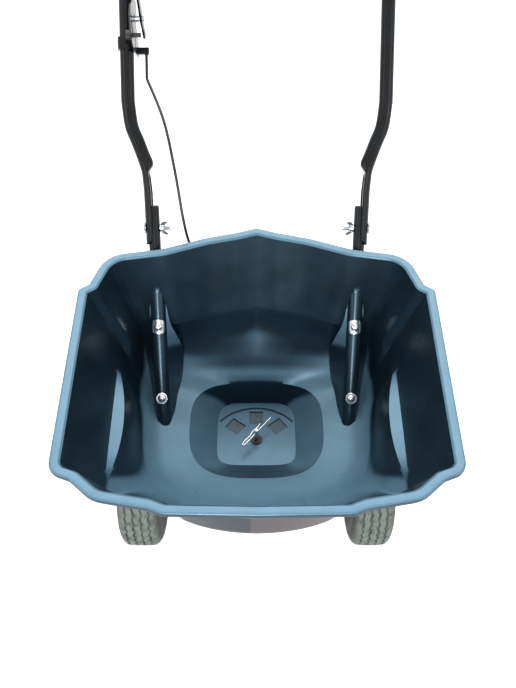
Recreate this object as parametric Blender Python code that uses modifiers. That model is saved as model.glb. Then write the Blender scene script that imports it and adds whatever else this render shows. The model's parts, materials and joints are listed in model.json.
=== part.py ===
"""A walk-behind broadcast spreader, modelled for Blender 4.5 in metres, +Z up.

The hopper's front is towards -Y and the handle is towards +Y. Sizes inside the model are measured
from the ground and from the hopper's middle line; one empty moves all of it to the part's own frame,
whose origin is on the ground under the middle of the whole machine.
"""

import math

import bmesh
import bpy
from mathutils import Matrix, Vector

# Heights of the axle, the hopper's floor and its rim
AXLE_HEIGHT = 0.130
FLOOR_ABOVE_AXLE = 0.165
WELL_DEPTH = 0.335
RIM_HEIGHT = AXLE_HEIGHT + FLOOR_ABOVE_AXLE + WELL_DEPTH

# Hopper
RIM_BACK = 0.2923
RIM_FRONT = 0.317
WALL = 0.003
FLANGE_WIDTH = 0.0155
SKIRT_DROP = 0.008
BOWL_DEPTH = 0.282
WELL_HALF_WIDTH = 0.078
LEDGE_DEPTH = 0.140
LEDGE_WIDTH = 0.018
LEDGE_MIDDLE = -0.062
LEDGE_HALF_LENGTH = 0.123
PORT_WIDTH = 0.028
PORT_INNER = 0.038
PORT_OUTER = 0.070
PORT_ANGLE = math.radians(52)
SIDE_PORTS = (-1, 0, 1)
FLOOR_BUSH_RADIUS = 0.007
GROOVE_GAP = 0.0006

# Frame tubes
POST_RADIUS = 0.0111
TUBE_WALL = 0.0015
POST_X = 0.182
POST_X_HEIGHT = RIM_HEIGHT - 0.229
POST_SPLAY = 0.0432
POST_LEAN = math.radians(40)
POST_BEND = 0.060
POST_TOP = RIM_HEIGHT + 0.039
POST_FOOT = AXLE_HEIGHT - 0.022
BEND_HEIGHT = RIM_HEIGHT - 0.280
CAP_THICKNESS = 0.003
CAP_PLUG = 0.012

# Axle, wheels and drive
AXLE_Y = 0.037
AXLE_RADIUS = 0.00635
TYRE_RADIUS = AXLE_HEIGHT
TYRE_WIDTH = 0.088
TYRE_BEAD = TYRE_RADIUS - 0.064
WHEEL_X = 0.240
HUB_RADIUS = 0.016
HUB_LENGTH = 0.076
BUSH_RADIUS = 0.0085
BUSH_FLANGE_RADIUS = 0.012
BUSH_FLANGE = 0.002
BUSH_CLEARANCE = 0.0003
DRIVE_PIN_RADIUS = 0.0025
COTTER_RADIUS = 0.0013
CROWN_TEETH = 30
PINION_TEETH = 10
CROWN_RADIUS = 0.030
CROWN_FACE = 0.004
CASE_RADIUS = 0.041
CASE_WALL = 0.003
CASE_HALF_WIDTH = 0.024
CASE_MIDDLE = 0.002
PINION_HEIGHT = 0.007
SHAFT_RADIUS = 0.004
SHAFT_ABOVE_FLOOR = 0.035
CLIP_RADIUS = 0.0015
CLIP_ANGLE = math.radians(42)
IMPELLER_RADIUS = 0.115
IMPELLER_THICKNESS = 0.003
IMPELLER_HEIGHT = RIM_HEIGHT - WELL_DEPTH - 0.052
NECK_TOP = IMPELLER_HEIGHT - 0.025
VANE_HEIGHT = 0.018
VANES = 5

# Handle
HANDLE_RADIUS = 0.0127
HANDLE_HEIGHT = RIM_HEIGHT + 0.395
HANDLE_HALF_WIDTH = 0.236
HANDLE_CORNER = 0.050
FLARE_START = 0.076
FLARE = ((0.096, 0.0075), (0.112, 0.0140), (0.131, 0.0225), (0.152, 0.0320))
FLARE_END = 0.185
SADDLE_THICKNESS = 0.0042
SADDLE_GAP = 0.0006
WING_NUT_HEIGHT = 0.0085
WING_BOLT_TIP = 0.013
JOINT_HEIGHT = RIM_HEIGHT + 0.0095
JOINT_BOLT_RADIUS = 0.004
GRIP_LENGTH = 0.130
GRIP_RADIUS = 0.0165
GRIP_MIDDLE = 0.105

# Hopper bolts
HOPPER_BOLT_RADIUS = 0.003
HOPPER_BOLT_HEAD = 0.008
UPPER_BOLT_HEIGHT = RIM_HEIGHT - 0.1323
LOWER_BOLT_HEIGHT = RIM_HEIGHT - 0.2383
WASHER_THICKNESS = 0.0015

# Stand
STAND_RADIUS = 0.008
STAND_Y = 0.250
STAND_HALF_WIDTH = 0.150
STAND_BOLT_HEIGHT = BEND_HEIGHT - 0.028
STAND_TOP = STAND_BOLT_HEIGHT + 0.023
STAND_RIVET_RADIUS = 0.003

# Rate control
SHUTTER_TRAVEL = 0.038
SHUTTER_THICKNESS = 0.002
SHUTTER_HALF_WIDTH = 0.071
SHUTTER_BACK = 0.082
SHUTTER_FRONT = -0.061
SHUTTER_CORNER = 0.022
SLOT_SPARE = 0.005
WIRE_X = -0.040
WIRE_DROP = -0.006
CABLE_RADIUS = 0.00275
WIRE_RADIUS = 0.0008
WIRE_BORE = 0.0013
LEVER_HEIGHT = HANDLE_HEIGHT - 0.099
LEVER_ARM = 0.033
LEVER_LENGTH = 0.118
LEVER_SWING = math.radians(60)
LEVER_THICKNESS = 0.004
PIVOT_RADIUS = 0.004
CONSOLE_THICKNESS = 0.003
CLAMP_BELOW_PIVOT = 0.045
CLAMP_LENGTH = 0.022
CLAMP_WALL = 0.004
EYE_LENGTH = 0.012
CABLE_BELOW_PIVOT = 0.045
BRACKET_THICKNESS = 0.003

# Gap between pieces that touch
GAP = 0.0003

# Number of sides of round pieces
TUBE_STEPS = 12
STAND_STEPS = 8
WHEEL_STEPS = 24
SMALL_STEPS = 12
HOLE_STEPS = 8


def post_x(height):
    """Distance of a post's centre line from the middle plane."""
    return POST_X + POST_SPLAY * (height - POST_X_HEIGHT)


def post_y(height):
    """Y of a post's centre line where it leans."""
    return AXLE_Y + math.tan(POST_LEAN) * (height - BEND_HEIGHT)


HANDLE_BAR_Y = post_y(HANDLE_HEIGHT)
MIDDLE_Y = (HANDLE_BAR_Y + HANDLE_RADIUS - RIM_FRONT) / 2
FLOOR_HEIGHT = RIM_HEIGHT - WELL_DEPTH
SHUTTER_HEIGHT = FLOOR_HEIGHT - WALL - GAP - SHUTTER_THICKNESS / 2
STAND_INSET = POST_RADIUS + STAND_RADIUS + GAP
CREST_RADIUS = POST_RADIUS + GROOVE_GAP + WALL

# Directions of a leaning post in its own plane
POST_UP = Vector((0, math.sin(POST_LEAN), math.cos(POST_LEAN)))
POST_OUT = Vector((0, -math.cos(POST_LEAN), math.sin(POST_LEAN)))


def beside_post(side, height, across=0.0, out=0.0):
    """Point beside a leaning post: across is sideways, out is square to the post towards the front."""
    centre = Vector((side * post_x(height), post_y(height), height))
    return centre + Vector((across, 0, 0)) + POST_OUT * out


def remove_all():
    for obj in list(bpy.data.objects):
        bpy.data.objects.remove(obj, do_unlink=True)


def new_collection(name):
    collection = bpy.data.collections.new(name)
    bpy.context.scene.collection.children.link(collection)
    return collection


def linear(value):
    """sRGB channel from 0 to 255 as a linear value."""
    value /= 255
    return value / 12.92 if value <= 0.04045 else ((value + 0.055) / 1.055) ** 2.4


def make_material(name, colour, roughness, metallic):
    material = bpy.data.materials.new(name)
    material.use_nodes = True
    shader = material.node_tree.nodes["Principled BSDF"]
    red, green, blue = (linear(int(colour[place : place + 2], 16)) for place in (0, 2, 4))
    shader.inputs["Base Color"].default_value = (red, green, blue, 1)
    shader.inputs["Roughness"].default_value = roughness
    shader.inputs["Metallic"].default_value = metallic
    return material


remove_all()
PARTS = new_collection("broadcast_spreader")
CUTTERS = new_collection("cutters")

HOPPER_PLASTIC = make_material("hopper_plastic", "22405A", 0.3, 0.0)
BLACK_STEEL = make_material("black_steel", "15171A", 0.35, 0.0)
ZINC = make_material("zinc", "C4C8CC", 0.3, 1.0)
BRIGHT_STEEL = make_material("bright_steel", "D8DADC", 0.2, 1.0)
CAP_PLASTIC = make_material("cap_plastic", "2A2D30", 0.4, 0.0)
TYRE_RUBBER = make_material("tyre_rubber", "4A4C4A", 0.8, 0.0)
RIM_PLASTIC = make_material("rim_plastic", "1B1C1E", 0.5, 0.0)
NYLON = make_material("nylon", "D9D6C8", 0.5, 0.0)
FOAM = make_material("foam", "1A1A1B", 0.95, 0.0)
KNOB_PLASTIC = make_material("knob_plastic", "16181A", 0.35, 0.0)

ROOT = bpy.data.objects.new("spreader_frame", None)
ROOT.location = (0, -MIDDLE_Y, 0)
PARTS.objects.link(ROOT)


def add_empty(name, location):
    """A turning point for pieces that move, measured as everything else is."""
    empty = bpy.data.objects.new(name, None)
    empty.location = location
    empty.parent = ROOT
    PARTS.objects.link(empty)
    return empty


def add_object(name, data, material, parent=None, location=(0, 0, 0)):
    obj = bpy.data.objects.new(name, data)
    PARTS.objects.link(obj)
    obj.parent = parent or ROOT
    obj.location = Vector(location)
    if material:
        obj.data.materials.append(material)
    return obj


def mesh_object(name, mesh_data, material, parent=None, location=(0, 0, 0), smooth=35):
    """An object from a bmesh, shaded smooth across edges flatter than the given angle."""
    mesh = bpy.data.meshes.new(name)
    mesh_data.to_mesh(mesh)
    mesh_data.free()
    mesh.shade_smooth()
    mesh.set_sharp_from_angle(angle=math.radians(smooth))
    return add_object(name, mesh, material, parent, location)


def make_cutter(obj):
    """Turns an object into a helper that only cuts or joins others."""
    PARTS.objects.unlink(obj)
    CUTTERS.objects.link(obj)
    obj.hide_render = True
    obj.display_type = "WIRE"
    return obj


def boolean(obj, other, operation="DIFFERENCE"):
    modifier = obj.modifiers.new(other.name, "BOOLEAN")
    modifier.operation = operation
    modifier.solver = "EXACT"
    modifier.object = other
    return modifier


def aim(axis):
    """Rotation that turns +Z to the given direction."""
    return Vector(axis).to_track_quat("Z", "Y").to_matrix().to_4x4()


def rod(radius, length, axis=(0, 0, 1), centre=(0, 0, 0), steps=SMALL_STEPS, top_radius=None):
    """A round bar as a bmesh, centred on a point."""
    data = bmesh.new()
    bmesh.ops.create_cone(
        data,
        cap_ends=True,
        segments=steps,
        radius1=radius,
        radius2=radius if top_radius is None else top_radius,
        depth=length,
        matrix=Matrix.Translation(centre) @ aim(axis),
    )
    return data


def block(size, centre=(0, 0, 0), turn=None):
    """A box as a bmesh."""
    data = bmesh.new()
    scale = Matrix.Diagonal((*size, 1))
    bmesh.ops.create_cube(data, size=1, matrix=Matrix.Translation(centre) @ (turn or Matrix()) @ scale)
    return data


def rod_cutter(name, radius, length, axis, centre, parent=None, steps=HOLE_STEPS):
    return make_cutter(mesh_object(name, rod(radius, length, axis, centre, steps), None, parent))


def block_cutter(name, size, centre, turn=None, parent=None):
    return make_cutter(mesh_object(name, block(size, centre, turn), None, parent))


def turned(name, profile, material, parent=None, location=(0, 0, 0), axis=(0, 0, 1), steps=SMALL_STEPS):
    """A turned piece: the profile lists radius and height, down its outer side from top to bottom."""
    mesh = bpy.data.meshes.new(name)
    points = [(radius, 0, height) for radius, height in profile]
    closed = profile[0][0] > 0
    edges = [(place, place + 1) for place in range(len(points) - 1)]
    if closed:
        edges.append((len(points) - 1, 0))
    mesh.from_pydata(points, edges, [])
    obj = add_object(name, mesh, material, parent, location)
    obj.rotation_mode = "QUATERNION"
    obj.rotation_quaternion = Vector(axis).to_track_quat("Z", "Y")
    screw = obj.modifiers.new("turn", "SCREW")
    screw.axis = "Z"
    screw.steps = steps
    screw.render_steps = steps
    screw.use_merge_vertices = True
    screw.merge_threshold = 0.00005
    screw.use_smooth_shade = True
    return obj


def tube(name, points, radius, material, parent=None, resolution=4):
    """A round bar or cable along the points, with filled ends."""
    curve = bpy.data.curves.new(name, "CURVE")
    curve.dimensions = "3D"
    curve.bevel_depth = radius
    curve.bevel_resolution = resolution
    curve.use_fill_caps = True
    spline = curve.splines.new("POLY")
    spline.points.add(len(points) - 1)
    for point, place in zip(spline.points, points):
        point.co = (*place, 1)
    return add_object(name, curve, material, parent)


def as_mesh(obj):
    """Replaces a curve object with a closed mesh object of the same name, place and parent."""
    bpy.context.view_layer.update()
    graph = bpy.context.evaluated_depsgraph_get()
    mesh = bpy.data.meshes.new_from_object(obj.evaluated_get(graph))
    data = bmesh.new()
    data.from_mesh(mesh)
    bmesh.ops.remove_doubles(data, verts=data.verts, dist=0.00002)
    data.to_mesh(mesh)
    data.free()
    name, parent, place = obj.name, obj.parent, obj.matrix_local.copy()
    bpy.data.objects.remove(obj, do_unlink=True)
    made = add_object(name, mesh, None, parent)
    made.matrix_local = place
    return made


def plate(name, outlines, thickness, material, parent=None, matrix=None):
    """A flat plate from closed outlines in its own XY plane: the first is the edge, the rest are holes."""
    curve = bpy.data.curves.new(name, "CURVE")
    curve.dimensions = "2D"
    curve.fill_mode = "BOTH"
    curve.extrude = thickness / 2
    for outline in outlines:
        spline = curve.splines.new("POLY")
        spline.points.add(len(outline) - 1)
        spline.use_cyclic_u = True
        for point, (x, y) in zip(spline.points, outline):
            point.co = (x, y, 0, 1)
    obj = add_object(name, curve, material, parent)
    obj.matrix_local = matrix or Matrix()
    return obj


def circle(radius, centre=(0, 0), steps=SMALL_STEPS):
    return [
        (centre[0] + radius * math.cos(angle), centre[1] + radius * math.sin(angle))
        for angle in (2 * math.pi * step / steps for step in range(steps))
    ]


def arc(centre, radius, start, end, steps):
    """Points along an arc; angles in degrees."""
    points = []
    for step in range(steps + 1):
        angle = math.radians(start + (end - start) * step / steps)
        points.append((centre[0] + radius * math.cos(angle), centre[1] + radius * math.sin(angle)))
    return points


def loft(rings, cyclic=True):
    """Faces between rings with the same number of points."""
    data = bmesh.new()
    rows = [[data.verts.new(point) for point in ring] for ring in rings]
    for upper, lower in zip(rows, rows[1:]):
        count = len(upper)
        for place in range(count if cyclic else count - 1):
            after = (place + 1) % count
            data.faces.new((upper[place], lower[place], lower[after], upper[after]))
    return data, rows


def mirrored(points):
    return [Vector((-point[0], point[1], point[2])) for point in points]


# Hopper outline: half of the rim's outer edge from the middle of the back to the middle of the front.
# Each corner has its x, y and the radius of its rounding.
RIM_CORNERS = (
    (0.0000, RIM_BACK, 0.000),
    (0.0400, 0.2785, 0.030),
    (0.0969, 0.2637, 0.120),
    (0.1745, 0.2336, 0.040),
    (0.2756, 0.2155, 0.055),
    (0.2975, 0.1400, 0.004),
    (0.3145, 0.1290, 0.010),
    (0.3068, -0.2452, 0.028),
    (0.2726, -0.2583, 0.006),
    (0.2365, -0.2909, 0.050),
    (0.1574, -0.3054, 0.008),
    (0.1350, -0.3145, 0.020),
    (0.0000, -RIM_FRONT, 0.000),
)
ARC_STEP = math.radians(30)
EDGE_STEP = 0.065


def offset_corners(corners, distance):
    """The corners moved inwards by a distance, with their roundings kept concentric."""
    points = [Vector(corner[:2]) for corner in corners]
    before = Vector((-points[1].x, points[1].y))
    after = Vector((-points[-2].x, points[-2].y))
    chain = [before, *points, after]
    moved = []
    for place, corner in enumerate(corners):
        one = (chain[place + 1] - chain[place]).normalized()
        two = (chain[place + 2] - chain[place + 1]).normalized()
        inward_one = Vector((one.y, -one.x))
        inward_two = Vector((two.y, -two.x))
        mitre = (inward_one + inward_two) / (1 + inward_one.dot(inward_two))
        convex = one.x * two.y - one.y * two.x < 0
        radius = max(corner[2] - distance, 0.002) if convex else corner[2] + distance
        moved.append((*(points[place] + mitre * distance), radius))
    return moved


def rounded_outline(corners):
    """Points of the whole closed outline, clockwise from the middle of the back."""
    half = []
    for place, (x, y, radius) in enumerate(corners):
        corner = Vector((x, y))
        if place in (0, len(corners) - 1):
            half.append(corner)
            continue
        before = Vector(corners[place - 1][:2])
        after = Vector(corners[place + 1][:2])
        one = (corner - before).normalized()
        two = (after - corner).normalized()
        turn = math.atan2(one.x * two.y - one.y * two.x, one.dot(two))
        steps = round(abs(turn) / ARC_STEP)
        if steps == 0:
            half.append(corner)
            continue
        reach = radius * math.tan(abs(turn) / 2)
        start = corner - one * reach
        side = Vector((-one.y, one.x)) * math.copysign(1, turn)
        centre = start + side * radius
        for step in range(steps + 1):
            angle = turn * step / steps
            arm = start - centre
            half.append(centre + Vector((arm.x * math.cos(angle) - arm.y * math.sin(angle),
                                         arm.x * math.sin(angle) + arm.y * math.cos(angle))))
    return half


def subdivided(half, counts):
    """The half outline with extra points on its long edges, then its mirror image."""
    points = []
    for place, count in enumerate(counts):
        for step in range(count):
            points.append(half[place].lerp(half[place + 1], step / count))
    points.append(half[-1])
    other = [Vector((-point.x, point.y)) for point in reversed(points[1:-1])]
    return points + other


OUTER_HALF = rounded_outline(RIM_CORNERS)
EDGE_COUNTS = [
    max(1, round((OUTER_HALF[place + 1] - OUTER_HALF[place]).length / EDGE_STEP))
    for place in range(len(OUTER_HALF) - 1)
]
RIM_OUTLINE = subdivided(OUTER_HALF, EDGE_COUNTS)
WALL_OUTLINE = subdivided(rounded_outline(offset_corners(RIM_CORNERS, FLANGE_WIDTH)), EDGE_COUNTS)

# Draft of the upper walls, as the tangent of the angle from vertical
SIDE_DRAFT = 0.325
BACK_DRAFT = 0.36
BACK_MIDDLE_DRAFT = 0.09
FRONT_DRAFT = 0.26
FRONT_SIDE_DRAFT = 0.28
FRONT_MIDDLE = 0.16

# Bowl under the upper walls: depth, half width at the sides, reach to the back and to the front of the
# shaft, squareness of the outline behind and in front, share of the bowl's own shape and of the side ledge
BOWL_LEVELS = (
    (0.175, 0.2410, 0.165, 0.280, 4.8, 2.8, 0.55, 0.90),
    (0.205, 0.2330, 0.147, 0.258, 4.5, 2.8, 0.85, 0.60),
    (0.232, 0.2230, 0.132, 0.232, 4.2, 2.8, 1.00, 0.25),
    (0.255, 0.2060, 0.120, 0.202, 3.7, 2.8, 1.00, 0.00),
    (0.270, 0.1800, 0.110, 0.170, 3.4, 2.8, 1.00, 0.00),
    (BOWL_DEPTH, 0.1300, 0.103, 0.121, 3.2, 3.0, 1.00, 0.00),
    (WELL_DEPTH, WELL_HALF_WIDTH, 0.092, 0.059, 5.0, 5.0, 1.00, 0.00),
)
WALL_DEPTHS = (0.0, 0.050, 0.100, 0.134)


def upper_wall(place, depth):
    """Point of the drafted upper wall at a depth below the rim."""
    start = WALL_OUTLINE[place]
    across = start.x / 0.30
    along = (start.y - AXLE_Y) / (0.24 if start.y > AXLE_Y else 0.34)
    normal = Vector((math.copysign(abs(across) ** 3, across), math.copysign(abs(along) ** 3, along)))
    normal.normalize()
    if start.y > AXLE_Y:
        middle = max(0.0, 1 - abs(start.x) / 0.14)
        end_draft = BACK_DRAFT + BACK_MIDDLE_DRAFT * middle
    else:
        end_draft = FRONT_DRAFT + FRONT_SIDE_DRAFT * min(1.0, abs(start.x) / FRONT_MIDDLE) ** 2
    draft = SIDE_DRAFT * normal.x**2 + end_draft * normal.y**2
    return start - normal * draft * depth


def ledge_push(place):
    """Inward reach of the crescent ledge on the side wall, 0 away from the side walls."""
    start = WALL_OUTLINE[place]
    along = (start.y - LEDGE_MIDDLE) / LEDGE_HALF_LENGTH
    if abs(along) >= 1 or abs(start.x) < 0.27:
        return 0.0
    return math.copysign(LEDGE_WIDTH * (1 - along**2), start.x)


def bowl_point(place, half_width, back, front, back_power, front_power):
    """Point of a rounded outline round the shaft, in the direction of a rim point."""
    start = WALL_OUTLINE[place]
    angle = math.atan2(start.y - AXLE_Y, start.x)
    behind = start.y > AXLE_Y
    power = back_power if behind else front_power
    across = abs(math.cos(angle)) / half_width
    along = abs(math.sin(angle)) / (back if behind else front)
    reach = 1 / (across**power + along**power) ** (1 / power)
    return Vector((reach * math.cos(angle), AXLE_Y + reach * math.sin(angle)))


def hopper_rings(with_flange):
    """Inner surface of the hopper as rings from the skirt's lower edge to the well's floor."""
    count = len(RIM_OUTLINE)
    rings = []
    if with_flange:
        rings.append([Vector((*point, RIM_HEIGHT - SKIRT_DROP)) for point in RIM_OUTLINE])
        rings.append([Vector((*point, RIM_HEIGHT)) for point in RIM_OUTLINE])
    for depth in WALL_DEPTHS:
        rings.append([Vector((*upper_wall(place, depth), RIM_HEIGHT - depth)) for place in range(count)])
    ring = []
    for place in range(count):
        point = upper_wall(place, LEDGE_DEPTH)
        ring.append(Vector((point.x - ledge_push(place), point.y, RIM_HEIGHT - LEDGE_DEPTH)))
    rings.append(ring)
    for depth, *shape, share, ledge in BOWL_LEVELS:
        ring = []
        for place in range(count):
            wall = upper_wall(place, depth)
            bowl = bowl_point(place, *shape)
            point = wall.lerp(bowl, share)
            ring.append(Vector((point.x - ledge * ledge_push(place), point.y, RIM_HEIGHT - depth)))
        rings.append(ring)
    return rings


def hopper_skin(with_flange):
    """The hopper's inner surface with its floor, its walls in triangles and its front side inwards."""
    data, rows = loft(hopper_rings(with_flange))
    bmesh.ops.triangulate(data, faces=data.faces, quad_method="FIXED")
    floor = data.faces.new(reversed(rows[-1]))
    bmesh.ops.recalc_face_normals(data, faces=data.faces)
    floor.normal_update()
    if floor.normal.z < 0:
        bmesh.ops.reverse_faces(data, faces=data.faces)
    data.normal_update()
    return data, rows


def hopper_volume():
    """The space inside the hopper out to the middle of its wall."""
    data, rows = hopper_skin(with_flange=False)
    moves = {vert: -vert.normal * WALL / 2 for vert in data.verts}
    for vert, move in moves.items():
        vert.co += move
    data.faces.new(rows[0])
    bmesh.ops.recalc_face_normals(data, faces=data.faces)
    return data


# Ridge over each post: height of the post's centre line below the rim, reach of the ridge's foot towards
# the middle and towards the outside, and the foot's depth
RIDGE_STATIONS = (
    (-0.055, 0.0190, 0.0190, -0.002),
    (-0.095, 0.0240, 0.0220, -0.004),
    (-0.128, 0.0360, 0.0300, 0.008),
    (-0.175, 0.0400, 0.0330, 0.033),
    (-0.235, 0.0295, 0.0340, 0.066),
    (-0.262, 0.0205, 0.0270, 0.020),
    (-0.292, 0.0150, 0.0200, 0.004),
)
RIDGE_ANGLES = (8, 172)
RIDGE_STEPS = 6

# Depth that each ridge and groove runs on behind its foot
FOOT_DEPTH = 0.040


def ridge(name, side, inset):
    """One ridge as a closed solid, with a round crest and flanks that widen to its foot, or its groove."""
    rings = []
    first, last = RIDGE_ANGLES
    shoulder = Vector(arc((0, 0), CREST_RADIUS, first, last, RIDGE_STEPS)[0])
    crest = arc((0, 0), CREST_RADIUS - inset, first, last, RIDGE_STEPS)
    for drop, inner, outer, depth in RIDGE_STATIONS:
        height = RIM_HEIGHT + drop
        feet = []
        for reach in (outer, inner):
            flank = (Vector((reach, -depth)) - shoulder).normalized()
            foot = Vector((reach, -depth)) + Vector((flank.y, -flank.x)) * inset
            feet.append(foot - flank * inset * (1 + flank.y) / flank.x)
        right, left = feet
        section = [(right.x, right.y - FOOT_DEPTH), (right.x, right.y), *crest, (-left.x, left.y),
                   (-left.x, left.y - FOOT_DEPTH)]
        rings.append([beside_post(side, height, side * across, out) for across, out in section])
    data, rows = loft(rings)
    data.faces.new(rows[0])
    data.faces.new(reversed(rows[-1]))
    bmesh.ops.recalc_face_normals(data, faces=data.faces)
    return mesh_object(name, data, None)


def port_corners():
    """Corners of the three ports round the shaft, each as a list of x and y."""
    ports = []
    for side in SIDE_PORTS:
        angle = side * PORT_ANGLE
        outward = Vector((math.sin(angle), math.cos(angle)))
        across = Vector((outward.y, -outward.x))
        half = across * PORT_WIDTH / 2
        near = outward * PORT_INNER
        far = outward * PORT_OUTER
        ports.append([near - half, near + half, far + half, far - half])
    return ports


def floor_plate(name, outline, holes, thickness, height, parent=None, material=ZINC, shift=0.0):
    matrix = Matrix.Translation((0, AXLE_Y + shift, height))
    return plate(name, [outline, *holes], thickness, material, parent, matrix)


def post_bolt_frames():
    """Name, side and post centre point of the four hopper bolts."""
    frames = []
    for side_name, side in (("left", -1), ("right", 1)):
        for level, height in (("upper", UPPER_BOLT_HEIGHT), ("lower", LOWER_BOLT_HEIGHT)):
            centre = Vector((side * post_x(height), post_y(height), height))
            frames.append((f"{side_name}_{level}", level, centre))
    return frames


def make_hopper():
    skin, rows = hopper_skin(with_flange=True)
    hopper = mesh_object("hopper", skin, HOPPER_PLASTIC)
    shell = hopper.modifiers.new("wall", "SOLIDIFY")
    shell.thickness = WALL
    shell.offset = -1
    shell.use_even_offset = True
    volume = make_cutter(mesh_object("hopper_inside", hopper_volume(), None))
    for side_name, side in (("left", -1), ("right", 1)):
        crest = ridge(f"ridge_{side_name}", side, 0.0)
        boolean(crest, volume, "INTERSECT")
        boolean(hopper, make_cutter(crest), "UNION")
    for side_name, side in (("left", -1), ("right", 1)):
        groove = ridge(f"groove_{side_name}", side, WALL)
        boolean(hopper, make_cutter(groove))
    for name, level, centre in post_bolt_frames():
        hole = rod_cutter(f"hopper_hole_{name}", HOPPER_BOLT_RADIUS + 0.0005, 0.03, POST_OUT,
                          centre + POST_OUT * POST_RADIUS)
        boolean(hopper, hole)
    shaft_hole = rod_cutter("hopper_shaft_hole", FLOOR_BUSH_RADIUS + GAP, 0.02, (0, 0, 1),
                            (0, AXLE_Y, FLOOR_HEIGHT), steps=16)
    boolean(hopper, shaft_hole)
    for number, corners in enumerate(port_corners()):
        cut = floor_plate(f"port_cut_{number + 1}", corners, [], 0.02, FLOOR_HEIGHT, material=None)
        boolean(hopper, make_cutter(as_mesh(cut)))
    return hopper


# Frame
def post_path(side):
    """Centre line of a post from its top to its foot, with the bend as an arc."""
    points = [Vector((side * post_x(POST_TOP), post_y(POST_TOP), POST_TOP))]
    reach = POST_BEND * math.tan(POST_LEAN / 2)
    centre = Vector((0, AXLE_Y + POST_BEND, BEND_HEIGHT - reach))
    steps = 4
    for step in range(steps + 1):
        angle = POST_LEAN * (1 - step / steps)
        y = centre.y - POST_BEND * math.cos(angle)
        z = centre.z + POST_BEND * math.sin(angle)
        points.append(Vector((side * post_x(z), y, z)))
    points.append(Vector((side * post_x(POST_FOOT), AXLE_Y, POST_FOOT)))
    return points


def hollow_tube(name, points, radius, wall, material, steps=TUBE_STEPS):
    """An open-ended steel tube along the points: rings square to the path, with Solidify for the wall."""
    rings = []
    count = len(points)
    for place, point in enumerate(points):
        before = points[max(place - 1, 0)]
        after = points[min(place + 1, count - 1)]
        forward = ((point - before).normalized() + (after - point).normalized()).normalized()
        across = Vector((1, 0, 0)) if abs(forward.x) < 0.7 else Vector((0, 1, 0))
        one = (across - forward * across.dot(forward)).normalized()
        two = forward.cross(one)
        ring = []
        for step in range(steps):
            angle = 2 * math.pi * (step + 0.5) / steps
            ring.append(point + (one * math.cos(angle) + two * math.sin(angle)) * radius)
        rings.append(ring)
    return shelled(name, rings, wall, material)


def shelled(name, rings, wall, material, parent=None, mirror=False):
    """Rings joined into an open pipe whose wall grows inwards; a half pipe ends on the middle plane."""
    data, rows = loft(rings)
    bmesh.ops.recalc_face_normals(data, faces=data.faces)
    middle = sum((vert.co for vert in rows[0]), Vector()) / len(rows[0])
    face = rows[0][0].link_faces[0]
    if face.normal.dot(face.calc_center_median() - middle) < 0:
        bmesh.ops.reverse_faces(data, faces=data.faces)
    obj = mesh_object(name, data, material, parent)
    if mirror:
        other_half = obj.modifiers.new("other half", "MIRROR")
        other_half.use_mirror_merge = True
        other_half.merge_threshold = 0.0001
    shell = obj.modifiers.new("wall", "SOLIDIFY")
    shell.thickness = wall
    shell.offset = -1
    shell.use_even_offset = True
    return obj


def make_posts():
    for side_name, side in (("left", -1), ("right", 1)):
        post = hollow_tube(f"frame_tube_{side_name}", post_path(side), POST_RADIUS, TUBE_WALL, BLACK_STEEL)
        for name, level, centre in post_bolt_frames():
            if name.startswith(side_name):
                boolean(post, rod_cutter(f"post_hole_{name}", HOPPER_BOLT_RADIUS + 0.0005, 0.05, POST_OUT,
                                         centre))
        joint = Vector((side * post_x(JOINT_HEIGHT), post_y(JOINT_HEIGHT), JOINT_HEIGHT))
        boolean(post, rod_cutter(f"post_joint_hole_{side_name}", JOINT_BOLT_RADIUS + 0.0004, 0.06, (1, 0, 0),
                                 joint))
        axle = Vector((side * post_x(AXLE_HEIGHT), AXLE_Y, AXLE_HEIGHT))
        boolean(post, rod_cutter(f"post_axle_hole_{side_name}", BUSH_RADIUS + GAP, 0.06, (1, 0, 0), axle,
                                 steps=16))
        rivet = Vector((side * post_x(STAND_BOLT_HEIGHT), AXLE_Y, STAND_BOLT_HEIGHT))
        boolean(post, rod_cutter(f"post_rivet_hole_{side_name}", STAND_RIVET_RADIUS + GAP, 0.06, (1, 0, 0),
                                 rivet))
        top = Vector((side * post_x(POST_TOP), post_y(POST_TOP), POST_TOP))
        up = Vector((side * POST_SPLAY, math.tan(POST_LEAN), 1)).normalized()
        plug = POST_RADIUS - TUBE_WALL - 0.0007
        profile = [
            (0, CAP_THICKNESS),
            (POST_RADIUS * 0.7, CAP_THICKNESS),
            (POST_RADIUS, CAP_THICKNESS * 0.4),
            (POST_RADIUS, GAP),
            (plug, GAP),
            (plug, -CAP_PLUG),
            (0, -CAP_PLUG),
        ]
        turned(f"end_cap_{side_name}", profile, CAP_PLASTIC, location=top, axis=up)


def stand_path(side):
    """One leg of the stand, from beside its post down and back to the ground."""
    top_x = side * (post_x(STAND_TOP) - STAND_INSET)
    low_x = side * (post_x(STAND_BOLT_HEIGHT - 0.03) - STAND_INSET)
    points = [
        Vector((top_x, AXLE_Y, STAND_TOP)),
        Vector((low_x, AXLE_Y, STAND_BOLT_HEIGHT - 0.025)),
        Vector((low_x - side * 0.001, AXLE_Y + 0.006, STAND_BOLT_HEIGHT - 0.045)),
        Vector((low_x - side * 0.002, AXLE_Y + 0.018, STAND_BOLT_HEIGHT - 0.065)),
    ]
    foot = Vector((side * STAND_HALF_WIDTH, STAND_Y - 0.016, STAND_RADIUS + 0.030))
    points.append(foot)
    points.append(Vector((side * (STAND_HALF_WIDTH - 0.002), STAND_Y - 0.006, STAND_RADIUS + 0.012)))
    points.append(Vector((side * (STAND_HALF_WIDTH - 0.010), STAND_Y, STAND_RADIUS + 0.002)))
    points.append(Vector((side * (STAND_HALF_WIDTH - 0.024), STAND_Y, STAND_RADIUS)))
    return points


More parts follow.
